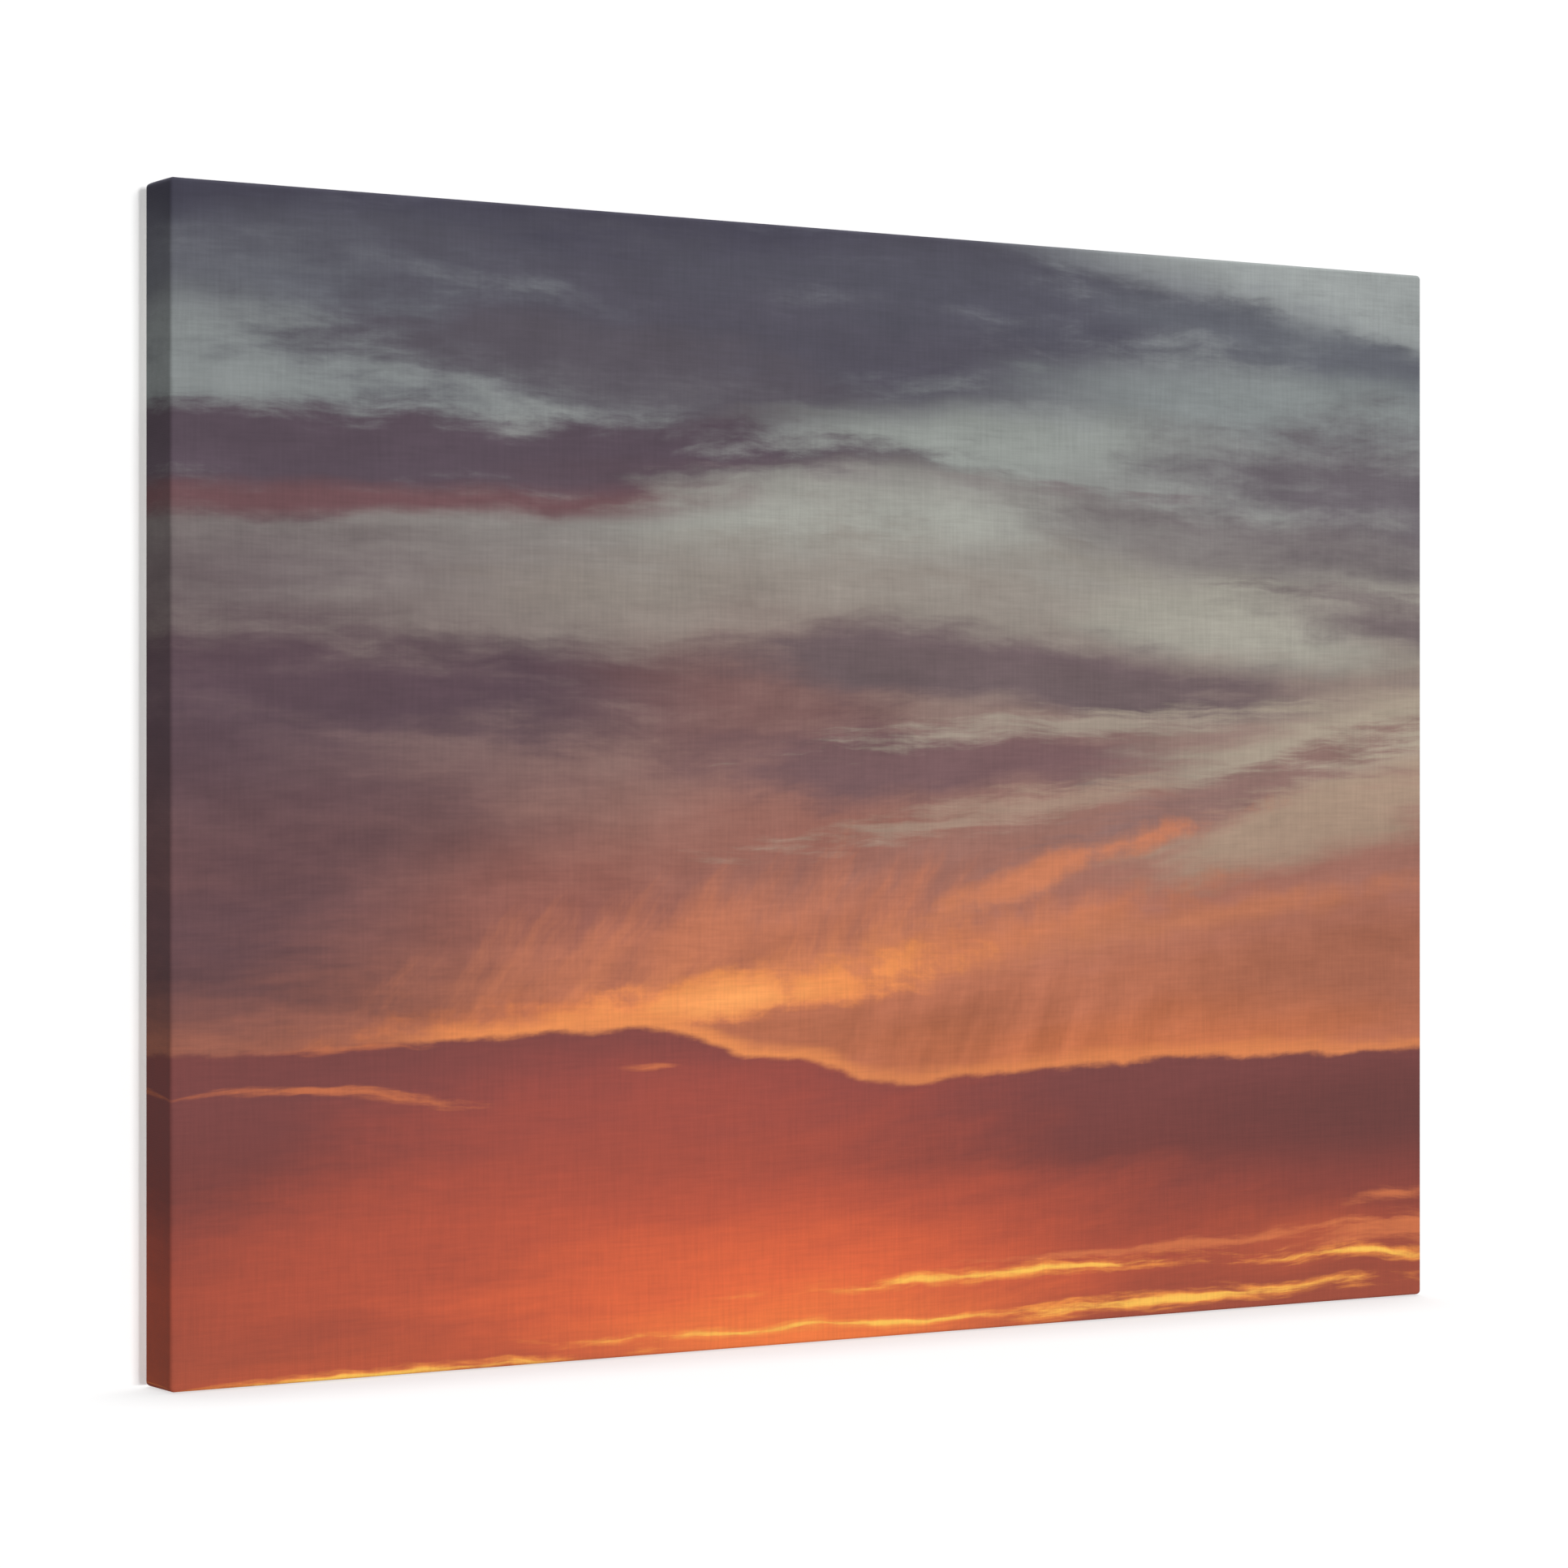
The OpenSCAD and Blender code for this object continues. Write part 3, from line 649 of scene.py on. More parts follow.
def build_sheet(material, inside):
    """The cloth: a drum-flat face, four wrapped sides and four flaps, as one sheet with thickness."""
    outline = Outline()
    staples = []
    for node in STAPLE_NODES:
        for low, high in islands(node):
            middle = (low + high) / 2
            staples.append(Vector((middle.x, 0, middle.z)))
    points, faces, places = [], [], []

    def add(point, place, along):
        points.append(point)
        places.append((place.x / (2 * HALF_W) + 0.5, place.z / HEIGHT, along))
        return len(points) - 1

    rings = []
    for inset, back, along in sheet_profile():
        ring = []
        for sample in outline.samples:
            flat = outline.point(sample, inset)
            place = outline.point(sample, FOLD_R - along)
            ring.append(add(sheet_shape(flat, sample, inset, back, staples), place, along))
        rings.append(ring)
    for first, second in zip(rings, rings[1:]):
        faces += band_faces(first, second)
    grid = []
    for j in range(HIGH_STEPS + 1):
        line = []
        for i in range(WIDE_STEPS + 1):
            x = -HALF_W + FACE_INSET + (2 * HALF_W - 2 * FACE_INSET) * spread(i / WIDE_STEPS)
            z = FACE_INSET + (HEIGHT - 2 * FACE_INSET) * spread(j / HIGH_STEPS)
            rim = min(HALF_W - abs(x), z, HEIGHT - z)
            slack = min(max((rim - 8 * MM) / (60 * MM), 0), 1)
            place = Vector((x, 0, z))
            wave = 0.16 * MM * slack * ripple(place, 140 * MM, 3)
            line.append(add(Vector((x, FRONT_Y + wave, z)), place, -1.0))
        grid.append(line)
    for first, second in zip(grid, grid[1:]):
        faces += band_faces(first, second, closed=False)
    for patch_points, patch_places, patch_faces in fold_patches():
        start = len(points)
        for point, (place, along) in zip(patch_points, patch_places):
            add(point, place, along)
        faces += [tuple(start + i for i in face) for face in patch_faces]
    sheet = make_piece("canvas_sheet", points, faces, material)
    stored = sheet.data.attributes.new("print_place", "FLOAT_VECTOR", "POINT")
    for i, place in enumerate(places):
        stored.data[i].vector = place
    weld(sheet, 0.02 * MM)
    sheet.data.materials.append(inside)
    solid = sheet.modifiers.new("cloth", "SOLIDIFY")
    solid.thickness = SHEET_T - 0.06 * MM
    solid.offset = -1
    solid.material_offset = 1
    solid.material_offset_rim = 1
    return sheet


def fold_patches():
    """The turned triangles of cloth that close the back corners of the top and bottom flaps.

    Each runs along the corner's diagonal and reaches towards the flap's outer edge. Its fold curls up
    off the cloth below, and the rest sinks back as it reaches away.
    """
    made = []
    steps_along, steps_out = 26, 12
    low, high = 2.5 * MM, FLAP_W - 0.4 * MM
    for sx, sz in ((-1, -1), (-1, 1), (1, -1), (1, 1)):
        points, places, rows, faces = [], [], [], []
        for i in range(steps_along + 1):
            row = []
            along = low + (high - low) * i / steps_along
            room = min(along - low * 0.6, FLAP_W - along) + 0.2 * MM
            for j in range(steps_out + 1):
                reach = room * (j / steps_out) ** 1.6
                z = along - reach
                curl = min(reach / (0.5 * MM), 1.0)
                lift = 0.2 * MM + 0.75 * MM * math.sqrt(1 - (1 - curl) ** 2)
                lift -= 0.35 * MM * min(reach / (9 * MM), 1.0)
                x = HALF_W - along - reach
                spot = Vector((sx * x, FLAP_Y + lift, HEIGHT / 2 + sz * (HEIGHT / 2 - z)))
                spot.y += 0.12 * MM * ripple(spot, 6 * MM, 11)
                row.append(len(points))
                points.append(spot)
                cloth_z = HEIGHT / 2 + sz * (HEIGHT / 2 + CLOTH_DEPTH + z)
                places.append((Vector((spot.x, 0, cloth_z)), CLOTH_DEPTH + z))
            rows.append(row)
        for first, second in zip(rows, rows[1:]):
            faces += band_faces(first, second, closed=False)
        if sx * sz > 0:
            faces = [tuple(reversed(face)) for face in faces]
        made.append((points, places, faces))
    return made


def cloth_threads(n, at, long, deep, thin, detail):
    """The uneven thickness of threads that run both ways."""
    return n.plus(n.noise(at, (long, deep, thin), detail), n.noise(at, (thin, deep, long), detail))


def cloth_weave(n, at):
    """Plain-weave relief: the threads pass over and under each other in turn."""
    x, y, z = n.split(at)
    wave = math.pi / THREAD_PITCH
    over, under, edge = (n.math("ABSOLUTE", n.math("SINE", n.times(c, wave))) for c in (x, z, y))
    return n.times(n.plus(over, under, n.times(edge, 0.5)), 0.4)


def printed_cloth():
    """Matt inkjet coating on woven cloth: ink on the face and sides, bare coating on the flaps. Both carry
    painted shade, darker where the weave sinks between threads.
    """
    n = new_material("printed_cloth")
    place = n.add("ShaderNodeAttribute", {}, attribute_name="print_place").outputs["Vector"]
    across, up, along = n.split(place)
    ink = sky_print(n, n.mirrored(across), n.mirrored(up))
    at = n.here()
    threads = cloth_threads(n, at, 45.0, 300.0, 620.0, 2.0)
    weave = cloth_weave(n, at)
    # The ink is scaled down evenly and varies with thread thickness. It is also darker where the weave sinks:
    # painted shade in the weave's hollows.
    ink = n.shaded(ink, n.plus(INK_SHARE, n.times(threads, 0.2), n.fade(weave, 0.1, 0.7, -0.05, 0.02)))
    # The coating's tone varies with thread thickness. It is also darker where the weave sinks: painted shade
    # in the weave's hollows.
    coat_tone_and_weave_shade = n.plus(0.5, n.times(threads, 1.1), n.fade(weave, 0.1, 0.7, -0.3, 0.1))
    coat = n.ramp(coat_tone_and_weave_shade, [(0.1, (222, 218, 208)), (0.8, (243, 240, 232))])
    inked = n.plus(along, n.times(n.noise(at, (90.0, 90.0, 90.0), 3.0), 1.5 * MM))
    limit = CLOTH_DEPTH + INKED_FLAP
    colour = n.mix(n.fade(inked, limit - 0.3 * MM, limit + 0.3 * MM), ink, coat)
    normal = n.bump(n.plus(weave, n.times(threads, 1.2)), 0.05 * MM, 0.6)
    roughness = n.plus(0.82, n.times(threads, 0.3))
    return n.surface(colour, roughness, normal, specular=0.12)


def bare_cloth():
    """The unprinted back of the cloth: natural off-white cotton with slubs, with painted shade where the
    weave sinks between threads.
    """
    n = new_material("bare_cloth")
    at = n.here()
    threads = cloth_threads(n, at, 22.0, 200.0, 480.0, 3.0)
    blotch = n.noise(at, (9.0, 9.0, 9.0), 3.0)
    weave = cloth_weave(n, at)
    # Painted shade: the cloth is coloured darker where the weave sinks between threads. Slubs and blotches
    # are the cloth's own tone.
    shade = n.fade(weave, 0.1, 0.7, -0.22, 0.12)
    tint_and_weave_shade = n.plus(0.5, n.times(threads, 0.9), n.times(blotch, 0.4), shade)
    colour = n.ramp(tint_and_weave_shade, [(0.1, (212, 204, 188)), (0.5, (231, 225, 212)), (0.9, (241, 237, 228))])
    normal = n.bump(n.plus(weave, n.times(threads, 1.6)), 0.07 * MM, 0.7)
    return n.surface(colour, 0.92, normal, specular=0.1)


inside_cloth = bare_cloth()
sheet = build_sheet(printed_cloth(), inside_cloth)
stand_in(sheet, "printed_canvas", "frame")


# ---- wood ----

PINE_EARLY = tone(232, 205, 160)
PINE_LATE = tone(200, 150, 98)
BEECH_EARLY = tone(222, 184, 140)
BEECH_LATE = tone(190, 142, 100)
SAW_PITCH = 5.5 * MM


def wood(name, axis, early, late, ring_gap, seed, knots=()):
    """Sawn softwood: growth rings cut lengthways, fine fibres, and a few knots that the rings flow round.

    axis is the grain's direction (0 for X, 2 for Z). A knot is (place along, place across, size).
    """
    n = new_material(name)
    x, y, z = n.split(n.here())
    along, across = (x, z) if axis == 0 else (z, x)
    grain_at = n.join(along, across, y)
    sway = n.noise(grain_at, (2.3, 9.0, 9.0), 2.0, 0.5)
    seasons = n.noise(grain_at, (0.3, 60.0, 60.0), 2.0, 0.6)
    radius = n.plus(across, n.times(y, 0.55), seed * 0.0137, n.times(sway, 16 * MM), n.times(seasons, 5 * MM))
    nearest = None
    for place, offset, size in knots:
        local = n.vector("SUBTRACT", n.join(along, across), (place, offset, 0))
        away = n.length(n.vector("DIVIDE", local, (size * 1.5, size, 1)))
        radius = n.plus(radius, n.fade(away, 3.4, 0.3, 0.0, 3.2 * size))
        away = n.plus(away, n.times(sway, 0.5))
        nearest = away if nearest is None else n.math("MINIMUM", nearest, away)
    turns = n.math("FRACT", n.times(radius, 1 / ring_gap))
    ring = n.times(n.fade(turns, 0.15, 0.93), n.fade(turns, 1.0, 0.94))
    fibre = n.noise(grain_at, (14.0, 1500.0, 1500.0), 3.0, 0.6)
    fleck = n.noise(grain_at, (60.0, 700.0, 700.0), 2.0, 0.5)
    patchy = n.noise(grain_at, (3.0, 14.0, 14.0), 3.0, 0.5)
    share = n.plus(n.times(ring, 0.62), n.times(fibre, 0.9), n.times(patchy, 0.8))
    colour = n.mix(n.math("ADD", share, 0.12, clamp=True), early, late)
    pale = n.fade(fleck, 0.12, 0.26)
    colour = n.mix(n.times(pale, 0.25), colour, tone(248, 228, 190))
    if nearest is not None:
        knot = n.ramp(n.plus(nearest, n.times(fibre, 0.25)), [
            (0.0, (120, 74, 42)), (0.25, (158, 106, 64)), (0.45, (140, 90, 54)),
            (0.7, (160, 110, 68)), (0.92, (92, 56, 34)),
        ])
        colour = n.mix(n.fade(nearest, 1.12, 0.92, 0.0, 0.9), colour, knot)
    saw = n.math("SINE", n.times(along, 2 * math.pi / SAW_PITCH))
    relief = n.plus(n.times(ring, -0.5), n.times(fibre, 1.1), n.times(fleck, 0.6), n.times(saw, 0.12))
    roughness = n.plus(0.62, n.times(fibre, 0.4))
    return n.surface(colour, roughness, n.bump(relief, 0.12 * MM, 0.7), specular=0.3)


# ---- metal and rubber ----

def plated_steel(name, colour, roughness, streak):
    """Zinc-plated steel: faint rolling streaks, soft blotches and fine scratches."""
    n = new_material(name)
    at = n.here()
    blotch = n.noise(at, (160.0, 160.0, 160.0), 4.0)
    line = n.noise(at, streak, 3.0)
    scratch = n.noise(at, (2600.0, 2600.0, 300.0), 2.0)
    tinted = n.shaded(colour, n.plus(1.0, n.times(blotch, 0.5), n.times(line, 0.35)))
    warm = n.fade(blotch, 0.02, 0.2)
    tinted = n.mix(n.times(warm, 0.35), tinted, tone(196, 184, 152))
    rough = n.plus(roughness, n.times(blotch, 0.5), n.times(scratch, 0.25))
    normal = n.bump(n.plus(line, scratch), 0.02 * MM, 0.5)
    return n.surface(tinted, rough, normal, metallic=1.0)


def moulded_rubber():
    """Matt grey elastomer with a fine moulded grain and a dusty bloom."""
    n = new_material("bumper_rubber")
    at = n.here()
    grain = n.noise(at, (2500.0, 2500.0, 2500.0), 3.0)
    bloom = n.noise(at, (300.0, 300.0, 300.0), 4.0)
    colour = n.ramp(n.plus(0.5, bloom), [(0.35, (58, 58, 60)), (0.65, (92, 91, 90))])
    return n.surface(colour, n.plus(0.6, n.times(bloom, 0.6)), n.bump(grain, 0.05 * MM, 0.6), specular=0.35)


# ---- CAD solids that stay, with eased edges ----

def finish_solid(node, material, ease):
    """Gives a CAD solid its material and rounds its edges a little."""
    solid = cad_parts[node]
    for slot in solid.material_slots:
        slot.material = material
    solid.data.polygons.foreach_set("use_smooth", [True] * len(solid.data.polygons))
    merge = solid.modifiers.new("merge", "WELD")
    merge.merge_threshold = 0.002 * MM
    bevel = solid.modifiers.new("ease", "BEVEL")
    bevel.width = ease
    bevel.segments = 2
    bevel.limit_method = "ANGLE"
    bevel.angle_limit = math.radians(28)
    bevel.use_clamp_overlap = True
    solid.modifiers.new("shade", "WEIGHTED_NORMAL")


def finish_woodwork():
    inner = HALF_W - 22 * MM
    top = HEIGHT - 20 * MM
    bars = {
        "bar_top": (0, 3, [(-0.21, top - 12 * MM, 4.5 * MM), (0.27, top - 18 * MM, 2.5 * MM)]),
        "bar_bottom": (0, 8, []),
        "bar_left": (2, 5, [(0.17, 11 * MM - inner, 4 * MM)]),
        "bar_right": (2, 11, [(0.35, inner - 10 * MM, 3.5 * MM)]),
        "centre_brace": (2, 14, []),
    }
    for node, (axis, seed, knots) in bars.items():
        gap = 3.4 * MM + 0.2 * MM * (seed % 4)
        material = wood("pine_" + node, axis, PINE_EARLY, PINE_LATE, gap, seed, knots)
        finish_solid(node, material, 0.5 * MM)
    rows, hands = ("top", "bottom"), ("left", "right")
    keys = [f"{row}_{hand}_{layer}" for row in rows for hand in hands for layer in "ab"]
    for i, key in enumerate(keys):
        axis = long_axis(*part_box("key_" + key))
        material = wood("beech_" + key, axis, BEECH_EARLY, BEECH_LATE, 1.6 * MM, 20 + i)
        finish_solid("key_" + key, material, 0.25 * MM)


finish_woodwork()
zinc_strap = plated_steel("zinc_strap", tone(186, 187, 186), 0.34, (900.0, 60.0, 60.0))
zinc_screw = plated_steel("zinc_screw", tone(200, 198, 188), 0.28, (300.0, 300.0, 300.0))
zinc_ring = plated_steel("zinc_ring", tone(192, 193, 192), 0.26, (700.0, 700.0, 120.0))
for hand in ("left", "right"):
    finish_solid("strap_" + hand, zinc_strap, 0.25 * MM)
    finish_solid("strap_screws_" + hand, zinc_screw, 0.12 * MM)
    finish_solid("ring_" + hand, zinc_ring, 0.05 * MM)


# ---- staples ----

def staple_parts(low, high):
    """One bent-wire staple that fills a CAD staple's box: a crown, two tight bends and two legs."""
    along = RUNS[long_axis(low, high) // 2]
    middle = (low + high) / 2
    wide, thin, round_off = 0.6 * MM, 0.3 * MM, 0.14 * MM
    half = (high - low).dot(along) / 2 - thin
    crown_y = high.y - thin
    bend, bow = 0.9 * MM, 0.12 * MM

    def at(y, out):
        return Vector((middle.x, y, middle.z)) + along * out

    def leg(side):
        """From a leg's tip round its bend."""
        line = [at(low.y, side * half)]
        for i in range(7):
            angle = math.pi / 2 * i / 6
            out = half - bend + bend * math.cos(angle)
            line.append(at(crown_y - bend + bend * math.sin(angle), side * out))
        return line

    crown = [at(crown_y + bow * math.sin(math.pi * share), (half - bend) * (2 * share - 1))
             for share in (0.25, 0.5, 0.75)]
    path = leg(-1) + crown + leg(1)[::-1]
    section = []
    for sx, sy, start in ((1, -1, -90), (1, 1, 0), (-1, 1, 90), (-1, -1, 180)):
        for step in (0, 45, 90):
            angle = math.radians(start + step)
            a = sx * (wide - round_off) + round_off * math.cos(angle)
            b = sy * (thin - round_off) + round_off * math.sin(angle)
            section.append((a, b))
    across = along.cross(Vector((0, 1, 0)))
    return sweep(path, section, across.cross(path[1] - path[0]))


def build_staples():
    steel = plated_steel("staple_steel", tone(196, 197, 199), 0.3, (500.0, 500.0, 500.0))
    for node in STAPLE_NODES:
        points, faces = gather([staple_parts(low, high) for low, high in islands(node)])
        piece = make_piece("wire_" + node, points, faces, steel)
        stand_in(piece, node, "frame")


build_staples()


# ---- picture wire ----

WIRE_R = 0.9 * MM
RING_WIRE_R = 1.3 * MM
COIL_R = RING_WIRE_R + WIRE_R + 0.35 * MM
wire_low, wire_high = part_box("hanging_wire")
RING_X = wire_high.x - WIRE_R
TIP = Vector((RING_X, wire_high.y - WIRE_R - COIL_R, wire_low.z + WIRE_R + COIL_R))
RUN_START = TIP + Vector((0, 0, COIL_R))
PEAK = Vector((0, TIP.y, wire_high.z - WIRE_R))
TAIL_Y = -(2 * WIRE_R + 0.1 * MM)
TAIL = 30 * MM
TAIL_DIP = 0.85 * MM
WIRE_STEP = 0.8 * MM
TURN_STEPS = 26
PEAK_EASING = 8


def wire_path():
    """The wire's centre line: tail, turn round the right ring, run over the peak, and the same back."""
    run = PEAK - RUN_START
    ahead = run.normalized()
    half = []
    count = int(TAIL / WIRE_STEP)
    for i in range(count):
        t = TAIL * (1 - i / count)
        dip = max(0, 1 - t / (4 * MM)) ** 2 * TAIL_DIP
        half.append(RUN_START + ahead * (t + 0.3 * MM) + Vector((0, TAIL_Y, -dip)))
    start = math.atan2(COIL_R - TAIL_DIP, TAIL_Y)
    for i in range(TURN_STEPS):
        angle = start + (2.5 * math.pi - start) * i / TURN_STEPS
        half.append(TIP + Vector((0, COIL_R * math.cos(angle), COIL_R * math.sin(angle))))
    count = int(run.length / WIRE_STEP)
    half += [RUN_START + run * (i / count) for i in range(count)]
    path = half + [PEAK] + [Vector((-p.x, p.y, p.z)) for p in reversed(half)]
    middle = len(half)
    for _ in range(PEAK_EASING):
        for i in range(middle - PEAK_EASING, middle + PEAK_EASING + 1):
            path[i] = (path[i - 1] + path[i] * 2 + path[i + 1]) / 4
    return path


def twisted_cord(path, radius, strands, pitch):
    """A core with strands wound round it, as points and faces."""
    strand_r = radius / 3
    reach = radius - strand_r
    steady = Vector((0, 1, 0))
    parts = [sweep(path, disc(strand_r * 1.05, 6), steady)]
    for k in range(strands):
        line, gone = [], 0.0
        for i, (at, side, top) in enumerate(steady_axes(path, steady)):
            gone += (at - path[i - 1]).length if i else 0.0
            angle = 2 * math.pi * (gone / pitch + k / strands)
            line.append(at + side * (reach * math.cos(angle)) + top * (reach * math.sin(angle)))
        parts.append(sweep(line, disc(strand_r * 1.04, 6), steady))
    return gather(parts)


def build_wire():
    bright = plated_steel("wire_steel", tone(176, 176, 174), 0.3, (400.0, 400.0, 400.0))
    points, faces = twisted_cord(wire_path(), WIRE_R, 6, 9 * MM)
    cord = make_piece("picture_wire", points, faces, bright)
    stand_in(cord, "hanging_wire", "wire")


SLEEVE_WALL = 0.8 * MM
SLEEVE_START = 15 * MM
SLEEVE_LENGTH = 12 * MM
SLEEVE_STEPS, SLEEVE_SIDES = 48, 28
CRIMPS = (0.2, 0.5, 0.8)
CRIMP_WIDTH = 0.75 * MM


def build_sleeve(hand, material):
    """A crimped oval sleeve over the wire and its tail."""
    sign = 1 if hand == "right" else -1
    ahead = (PEAK - RUN_START).normalized()
    up = ahead.cross(Vector((0, 1, 0))).normalized()
    outer = WIRE_R + SLEEVE_WALL
    rings, points, faces = [], [], []
    for i in range(SLEEVE_STEPS + 1):
        t = SLEEVE_LENGTH * i / SLEEVE_STEPS
        pinch = sum(math.exp(-((t - crimp * SLEEVE_LENGTH) / CRIMP_WIDTH) ** 2) for crimp in CRIMPS)
        mouth = max(0, 1 - min(t, SLEEVE_LENGTH - t) / (0.5 * MM))
        rounding = 0.25 * MM * mouth ** 2
        tall = outer - 0.34 * MM * pinch - rounding
        deep = outer + 0.1 * MM * pinch - rounding
        ring = []
        for j in range(SLEEVE_SIDES):
            angle = 2 * math.pi * j / SLEEVE_SIDES
            b = deep * math.sin(angle)
            b += (abs(TAIL_Y) / 2) * (1 if b > 0 else -1) + TAIL_Y / 2
            at = RUN_START + ahead * (SLEEVE_START + t) + up * (tall * math.cos(angle))
            ring.append(len(points))
            points.append(Vector((sign * at.x, at.y + b, at.z)))
        rings.append(ring)
    for a, b in zip(rings, rings[1:]):
        faces += band_faces(a, b)
    faces += [tuple(reversed(rings[0])), tuple(rings[-1])]
    if sign > 0:
        faces = [tuple(reversed(face)) for face in faces]
    piece = make_piece("crimped_sleeve_" + hand, points, faces, material)
    stand_in(piece, "ferrule_" + hand, "wire")


build_wire()
aluminium = plated_steel("sleeve_aluminium", tone(205, 207, 210), 0.36, (60.0, 900.0, 900.0))
for hand in ("left", "right"):
    build_sleeve(hand, aluminium)


# ---- bumpers ----

def build_bumper(hand, material):
    """A turned rubber foot: flared base, straight waist and a dished, round-edged pad."""
    low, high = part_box("bumper_" + hand)
    foot = Vector(((low.x + high.x) / 2, low.y, (low.z + high.z) / 2))
    radius = (high.x - low.x) / 2
    waist = radius - 0.45 * MM
    tall = high.y - low.y
    edge = 1.6 * MM
    profile = [
        (0.0, 0.0), (radius, 0.0), (radius, 0.5 * MM), (waist + 0.1 * MM, 0.9 * MM), (waist, tall - 2 * MM),
    ]
    for i in range(1, 8):
        angle = math.pi / 2 * i / 7
        profile.append((waist - edge * (1 - math.cos(angle)), tall - edge * (1 - math.sin(angle))))
    profile += [(2.6 * MM, tall - 0.08 * MM), (1.6 * MM, tall - 0.5 * MM), (0.0, tall - 0.6 * MM)]
    around = 48
    points, faces, rings = [], [], []
    for r, up in profile:
        turns = around if r > 0 else 1
        rings.append(list(range(len(points), len(points) + turns)))
        for i in range(turns):
            angle = 2 * math.pi * i / around
            points.append(foot + Vector((r * math.cos(angle), up, r * math.sin(angle))))
    for a, b in zip(rings, rings[1:]):
        if len(a) == 1:
            faces += [(a[0], b[i], b[(i + 1) % around]) for i in range(around)]
        elif len(b) == 1:
            faces += [(a[(i + 1) % around], a[i], b[0]) for i in range(around)]
        else:
            faces += band_faces(b, a)
    piece = make_piece("wall_bumper_" + hand, points, faces, material)
    stand_in(piece, "bumper_" + hand, "frame")


rubber = moulded_rubber()
for hand in ("left", "right"):
    build_bumper(hand, rubber)


# ---- loose threads ----

THREAD_SPACING = 5 * MM
THREAD_R = 0.11 * MM


def build_threads(material):
    """Short frayed threads along the cut edge of the flaps."""
    draw = random.Random(7)
    backward = Vector((0, 1, 0))
    middle = Vector((0, WOOD_BACK_Y + 0.35 * MM, HEIGHT / 2))
    parts = []
    for k in (0, 2, 3, 1):
        inward = -OUTWARD[k]
        line = backward.cross(inward) if k % 2 == 0 else inward.cross(backward)
        half_high, half_wide = HEIGHT / 2 - FLAP_W, HALF_W - FLAP_W
        inset, reach = (half_high, half_wide) if k % 2 == 0 else (half_wide, half_high)
        for _ in range(int(reach * 2 / THREAD_SPACING)):
            place = draw.uniform(-reach + 3 * MM, reach - 3 * MM)
            long = draw.uniform(1.2, 4.5) * MM
            lean = draw.uniform(-0.9, 0.9)
            rise = draw.uniform(0.0, 0.5) * MM
            base = middle - inward * inset + RUNS[k % 2] * place
            path = []
            for i in range(6):
                t = i / 5
                path.append(base + inward * (long * t - 0.8 * MM) + line * (lean * long * t * t)
                            + backward * (rise * math.sin(math.pi * t)))
            parts.append(sweep(path, disc(THREAD_R, 5), backward))
    points, faces = gather(parts)
    piece = make_piece("cut_edge_threads", points, faces, material)
    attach(piece, "frame")


build_threads(inside_cloth)


# ---- stage, light and camera ----

def stage_surface(name, white_share, glow, least_facing):
    """White card: nothing from behind, nor where it is seen more edge-on than least_facing.

    white_share of its white takes the scene's shadows, and the glow is even.
    """
    n = new_material(name)
    white_colour = (white_share, white_share, white_share, 1)
    white = n.add("ShaderNodeBsdfDiffuse", {"Color": white_colour}).outputs[0]
    light = n.add("ShaderNodeEmission", {"Color": (1, 1, 1, 1), "Strength": glow}).outputs[0]
    front = n.add("ShaderNodeAddShader", {0: white, 1: light}).outputs[0]
    clear = n.add("ShaderNodeBsdfTransparent", {}).outputs[0]
    seen = n.add("ShaderNodeNewGeometry", {}).outputs
    facing = n.dot(seen["Normal"], seen["Incoming"])
    hidden = n.math("MAXIMUM", seen["Backfacing"], n.fade(facing, least_facing, least_facing - 0.05))
    shown = n.add("ShaderNodeMixShader", {0: hidden, 1: front, 2: clear}).outputs[0]
    n.add("ShaderNodeOutputMaterial", {0: shown})
    return n.owner


def stage_card(name, corners, white_share, glow, least_facing):
    """A card that only the camera sees."""
    surface = stage_surface(name, white_share, glow, least_facing)
    card = make_piece(name, corners, [(0, 1, 2, 3)], surface)
    for ray in ("diffuse", "glossy", "transmission", "shadow"):
        setattr(card, "visible_" + ray, False)


def sun(name, towards, strength, spread):
    """A distant lamp: light comes from the direction `towards`, blurred over `spread` degrees."""
    data = bpy.data.lights.new(name, "SUN")
    data.energy = strength
    data.angle = math.radians(spread)
    lamp = bpy.data.objects.new(name, data)
    lamp.rotation_euler = Vector(towards).to_track_quat("Z", "Y").to_euler()
    bpy.context.scene.collection.objects.link(lamp)


AMBIENT = 0.47
SEEN_WHITE = 1.05
KEY, KEY_SPREAD = 0.65, 13
TOP, TOP_SPREAD = 0.6, 8
FILL, FILL_SPREAD = 0.47, 8
FLOOR_REACH = 6.0
FLOOR_Z = cad_low.z - 0.7 * MM
WALL_Y = cad_high.y + 1 * MM


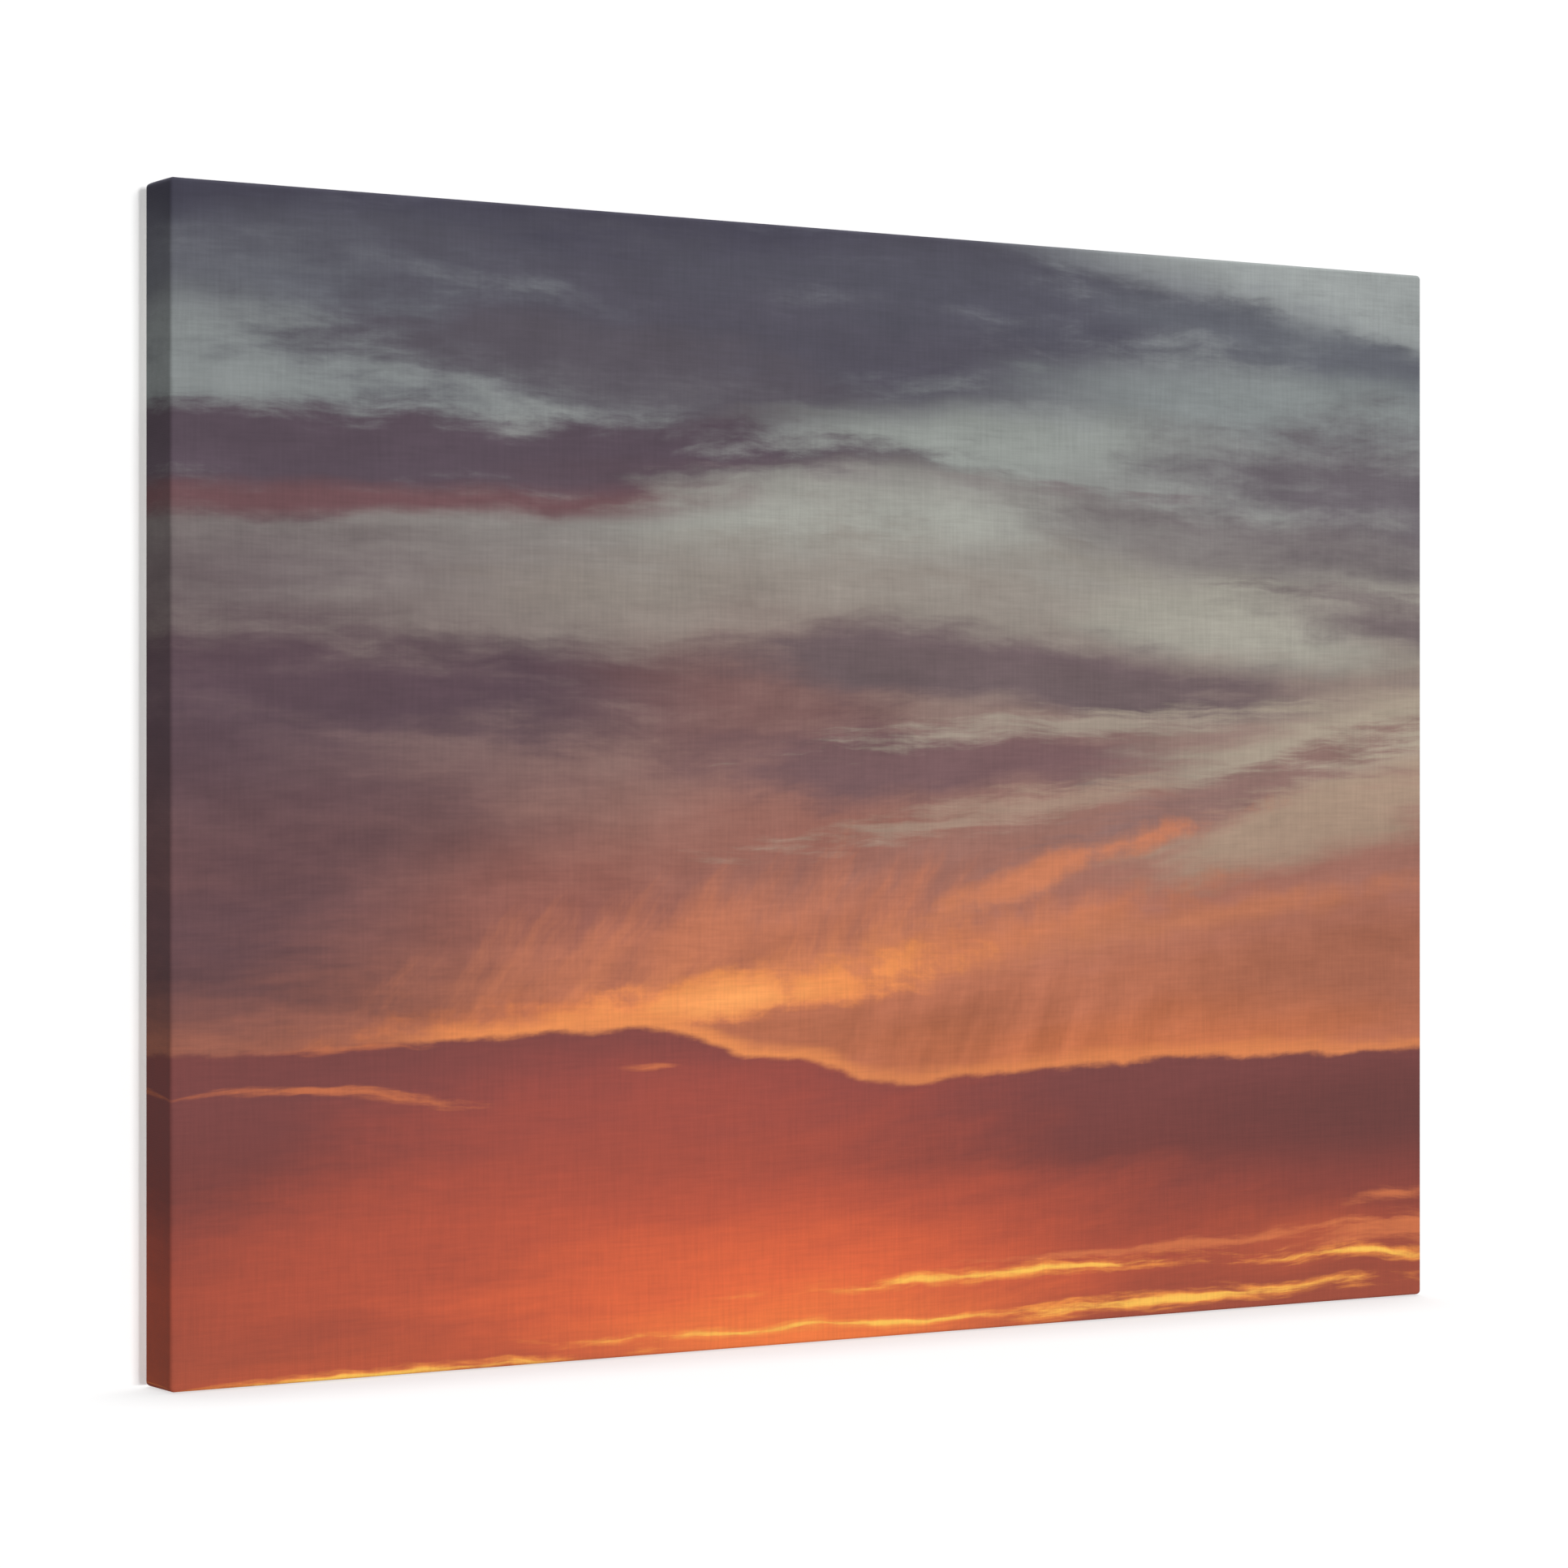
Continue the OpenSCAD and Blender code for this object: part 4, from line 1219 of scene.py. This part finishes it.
def build_stage():
    """A pale floor, and a wall panel close behind the canvas that takes its shadow on the left."""
    far = FLOOR_REACH
    corners = [Vector((x * far, y * far, FLOOR_Z)) for x, y in ((-1, -1), (1, -1), (1, 1), (-1, 1))]
    stage_card("floor", corners, 0.36, 0.64, 0.0)
    left, right = cad_low.x - 0.25, cad_high.x - 6 * MM
    top = cad_high.z + 0.2
    corners = [(left, FLOOR_Z), (right, FLOOR_Z), (right, top), (left, top)]
    stage_card("backdrop", [Vector((x, WALL_Y, z)) for x, z in corners], 0.76, 0.25, 0.80)


def build_world():
    """Even white light all round; the camera sees plain white, and metal sees a paler ceiling."""
    world = bpy.data.worlds.new("studio")
    bpy.context.scene.world = world
    n = Nodes(world)
    ray = n.add("ShaderNodeLightPath", {}).outputs
    height = n.split(n.add("ShaderNodeTexCoord", {}).outputs["Generated"])[2]
    mirrored = n.fade(height, -0.35, 0.75, 0.12, 1.5)
    lit = n.add("ShaderNodeMix", {0: ray["Is Glossy Ray"], 2: AMBIENT, 3: mirrored}).outputs[0]
    shown = n.add("ShaderNodeMix", {0: ray["Is Camera Ray"], 2: lit, 3: SEEN_WHITE}).outputs[0]
    white = n.add("ShaderNodeBackground", {"Color": (1, 1, 1, 1), "Strength": shown}).outputs[0]
    n.add("ShaderNodeOutputWorld", {0: white})


build_stage()
build_world()
sun("key", (0.01, -1.0, 0.10), KEY * math.pi, KEY_SPREAD)
sun("top", (0.045, 0.045, 1.0), TOP * math.pi, TOP_SPREAD)
sun("fill", (0.45, 1.0, 0.0), FILL * math.pi, FILL_SPREAD)

scene = bpy.context.scene
scene.view_settings.view_transform = "Standard"
scene.view_settings.look = "None"

VIEW_TURN = math.radians(32.119)
VIEW_RISE = math.radians(0.024)
VIEW_DISTANCE = 2.4106
AIM = Vector((-0.0439, FRONT_Y, HEIGHT / 2 - 0.6 * MM))

lens = bpy.data.cameras.new("camera")
lens.sensor_width = 36
lens.lens = 101.66
lens.clip_start = 0.05
lens.clip_end = 100
camera = bpy.data.objects.new("camera", lens)
camera.location = AIM - VIEW_DISTANCE * Vector((math.sin(VIEW_TURN), math.cos(VIEW_TURN), 0))
camera.rotation_euler = (math.pi / 2 + VIEW_RISE, 0, -VIEW_TURN)
scene.collection.objects.link(camera)
scene.camera = camera
